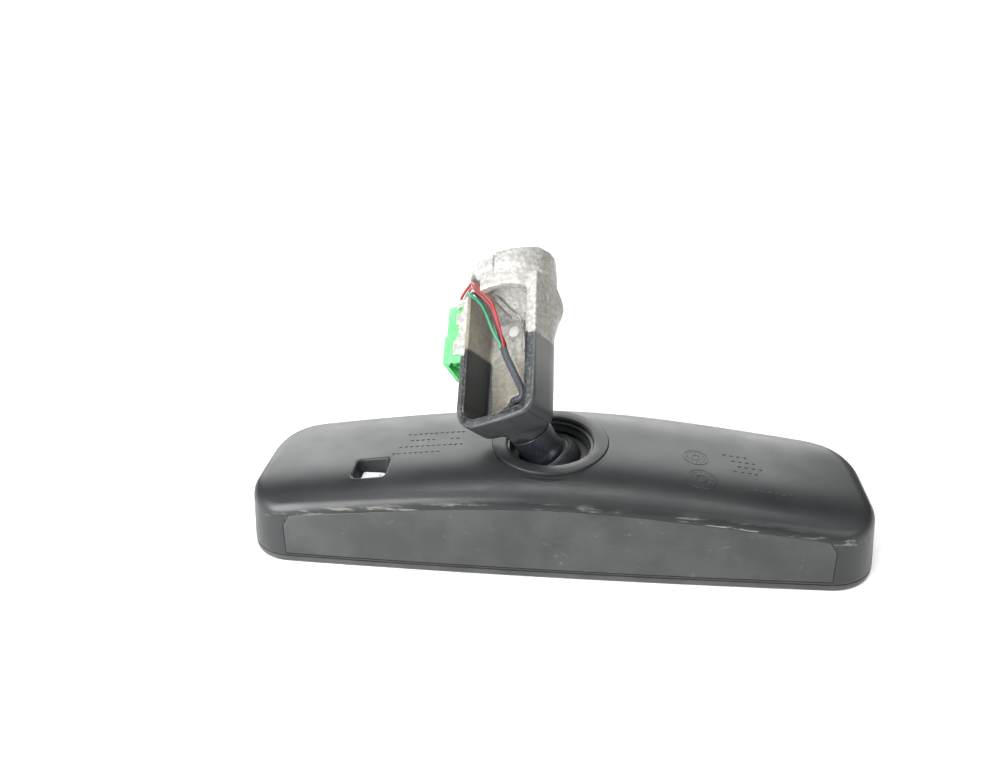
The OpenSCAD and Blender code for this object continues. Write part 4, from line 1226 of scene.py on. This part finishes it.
make_casting(cast_metal())
make_stud(stud_finish())
steel = drawn_metal("zinc_steel", (0.66, 0.65, 0.62), 0.34)
make_spring(drawn_metal("spring_steel", (0.50, 0.49, 0.46), 0.30))
make_rivet(satin_plastic("white_nylon", (0.86, 0.86, 0.84), 0.38))
green = satin_plastic("green_plastic", (0.17, 0.60, 0.24), 0.36, grain=0.5)
dark_green = satin_plastic("dark_green_plastic", (0.05, 0.34, 0.10), 0.42, grain=0.5)
make_connector(green, dark_green)
red = satin_plastic("red_pvc", (0.33, 0.026, 0.030), 0.32, grain=0.8)
make_wires({
    "wire_red_upper": (red, "red_pvc"),
    "wire_red_lower": (red, "red_pvc"),
    "wire_green": (satin_plastic("green_pvc", (0.03, 0.27, 0.15), 0.32, grain=0.8), "green_pvc"),
    "wire_black": (satin_plastic("black_pvc", (0.02, 0.02, 0.022), 0.35, grain=0.8), "black_pvc"),
})
sleeve = satin_plastic("sleeve_pvc", (0.048, 0.054, 0.068), 0.42, smears=0.3, grain=0.6, depth=0.05)
make_sleeve(sleeve)

# CAD nodes that keep their shape
finish_nodes(satin_plastic("liner_acetal", (0.05, 0.053, 0.057), 0.42), "socket_liner")
finish_nodes(satin_plastic("cup_acetal", (0.010, 0.011, 0.012), 0.62), "socket_cup")
finish_nodes(satin_plastic("filled_nylon", (0.035, 0.036, 0.038), 0.55, grain=0.2, depth=0.04),
             "backing_plate", "socket_housing")
finish_nodes(satin_plastic("white_acetal", (0.80, 0.79, 0.75), 0.4), "pressure_ring")
finish_nodes(steel, "stud_nut", "board_screws", "socket_screws", "socket_spring")
finish_nodes(drawn_metal("pressed_steel", (0.58, 0.58, 0.57), 0.38), "spring_retainer", "capacitors")
finish_nodes(drawn_metal("contact_brass", (0.78, 0.60, 0.28), 0.26), "connector_pins", "bus_clips")
finish_nodes(satin_plastic("cured_seal", (0.012, 0.012, 0.013), 0.5), "edge_seal")
finish_nodes(soft_foam(), "foam_pad")
finish_nodes(solder_mask(), "circuit_board")
finish_nodes(satin_plastic("chip_epoxy", (0.018, 0.018, 0.019), 0.5, depth=0.04), "microcontroller")
finish_nodes(clear_plastic("sensor_epoxy", (0.75, 0.85, 0.9)), "ambient_sensor", "glare_sensor")
finish_nodes(satin_plastic("ivory_nylon", (0.74, 0.70, 0.56), 0.42), "board_header", "harness_plug")
finish_nodes(sleeve, "harness_tail")


# ---- floor, light and camera --------------------------------------------------------------
def add_floor():
    """A white sheet, and beyond it a lit backdrop on the same level."""
    mesh = bpy.data.meshes.new("floor")
    side, near, far = 20.0, -3.0, 1.1
    points = [(x, y, 0) for y in (near, far, side) for x in (-side, side)]
    mesh.from_pydata(points, [], [(0, 1, 3, 2), (2, 3, 5, 4)])
    for name, glow in (("pale_floor", 0.22), ("lit_backdrop", 1.0)):
        look = Look(name, (0.90, 0.895, 0.885), 0.7)
        look.shader.inputs["Emission Color"].default_value = (1, 0.995, 0.985, 1)
        look.shader.inputs["Emission Strength"].default_value = glow
        look.rough(look.step(look.noise(300, 2), 0.3, 0.7, 0.65, 0.75))
        mesh.materials.append(look.material)
    mesh.polygons[1].material_index = 1
    floor = bpy.data.objects.new("floor", mesh)
    bpy.context.scene.collection.objects.link(floor)


def add_light(name, at, aim, size, watts, color=(1, 1, 1)):
    data = bpy.data.lights.new(name, "AREA")
    data.shape = "RECTANGLE"
    data.size, data.size_y = size
    data.energy = watts
    data.color = color
    light = bpy.data.objects.new(name, data)
    light.location = at
    light.rotation_euler = (Vector(aim) - Vector(at)).to_track_quat("-Z", "Y").to_euler()
    bpy.context.scene.collection.objects.link(light)


WORLD_LOW, WORLD_HIGH = (0.12, 1.5), (0.62, 0.42)


def add_world():
    """A room that is bright near the horizon and dim overhead: (height, strength) of each."""
    world = bpy.data.worlds.new("soft_room")
    world.use_nodes = True
    tree = world.node_tree
    back = tree.nodes["Background"]
    direction = tree.nodes.new("ShaderNodeTexCoord")
    parts = tree.nodes.new("ShaderNodeSeparateXYZ")
    rise = tree.nodes.new("ShaderNodeMapRange")
    tree.links.new(direction.outputs["Generated"], parts.inputs[0])
    tree.links.new(parts.outputs["Z"], rise.inputs["Value"])
    rise.interpolation_type = "SMOOTHSTEP"
    for end, (height, strength) in (("Min", WORLD_LOW), ("Max", WORLD_HIGH)):
        rise.inputs["From " + end].default_value = height
        rise.inputs["To " + end].default_value = strength
    tree.links.new(rise.outputs["Result"], back.inputs["Strength"])
    bpy.context.scene.world = world


# From the middle of the head, on the floor
CAMERA_AT = Vector((0.01323, -0.27467, 0.21741)) + Vector(HEAD_AT * MM)
CAMERA_LENS = 28.94
CAMERA_TURN, CAMERA_DOWN, CAMERA_ROLL = math.radians(-7.21), math.radians(28.73), math.radians(-1.75)


def add_camera():
    data = bpy.data.cameras.new("camera")
    data.lens = CAMERA_LENS
    data.sensor_width = 36
    data.clip_start = 0.01
    camera = bpy.data.objects.new("camera", data)
    sa, ca = math.sin(CAMERA_TURN), math.cos(CAMERA_TURN)
    se, ce = math.sin(CAMERA_DOWN), math.cos(CAMERA_DOWN)
    forward = Vector((sa * ce, ca * ce, -se))
    level = Vector((ca, -sa, 0))
    upright = level.cross(forward)
    sr, cr = math.sin(CAMERA_ROLL), math.cos(CAMERA_ROLL)
    right = level * cr + upright * sr
    above = upright * cr - level * sr
    camera.matrix_world = Matrix(
        [(right[k], above[k], -forward[k], CAMERA_AT[k]) for k in range(3)] + [(0, 0, 0, 1)]
    )
    bpy.context.scene.collection.objects.link(camera)
    bpy.context.scene.camera = camera


add_floor()
add_world()
add_light("far_panel", (-0.3, 1.6, 0.62), (0, 0, 0), (2.6, 1.0), 40)
add_light("near_panel", (-0.9, -1.1, 1.1), (0, 0, 0), (0.8, 0.6), 24)
add_light("top_strip", (0.0, -0.15, 1.3), (0, 0, 0), (1.4, 0.10), 9)
add_light("left_card", (-0.42, -0.40, 0.16), (-0.10, -0.03, 0.03), (0.22, 0.16), 2.2)
add_light("right_card", (0.50, -0.42, 0.42), (-0.01, 0.0, 0.07), (0.30, 0.30), 1.3)
add_camera()
bpy.context.scene.view_settings.view_transform = "Standard"
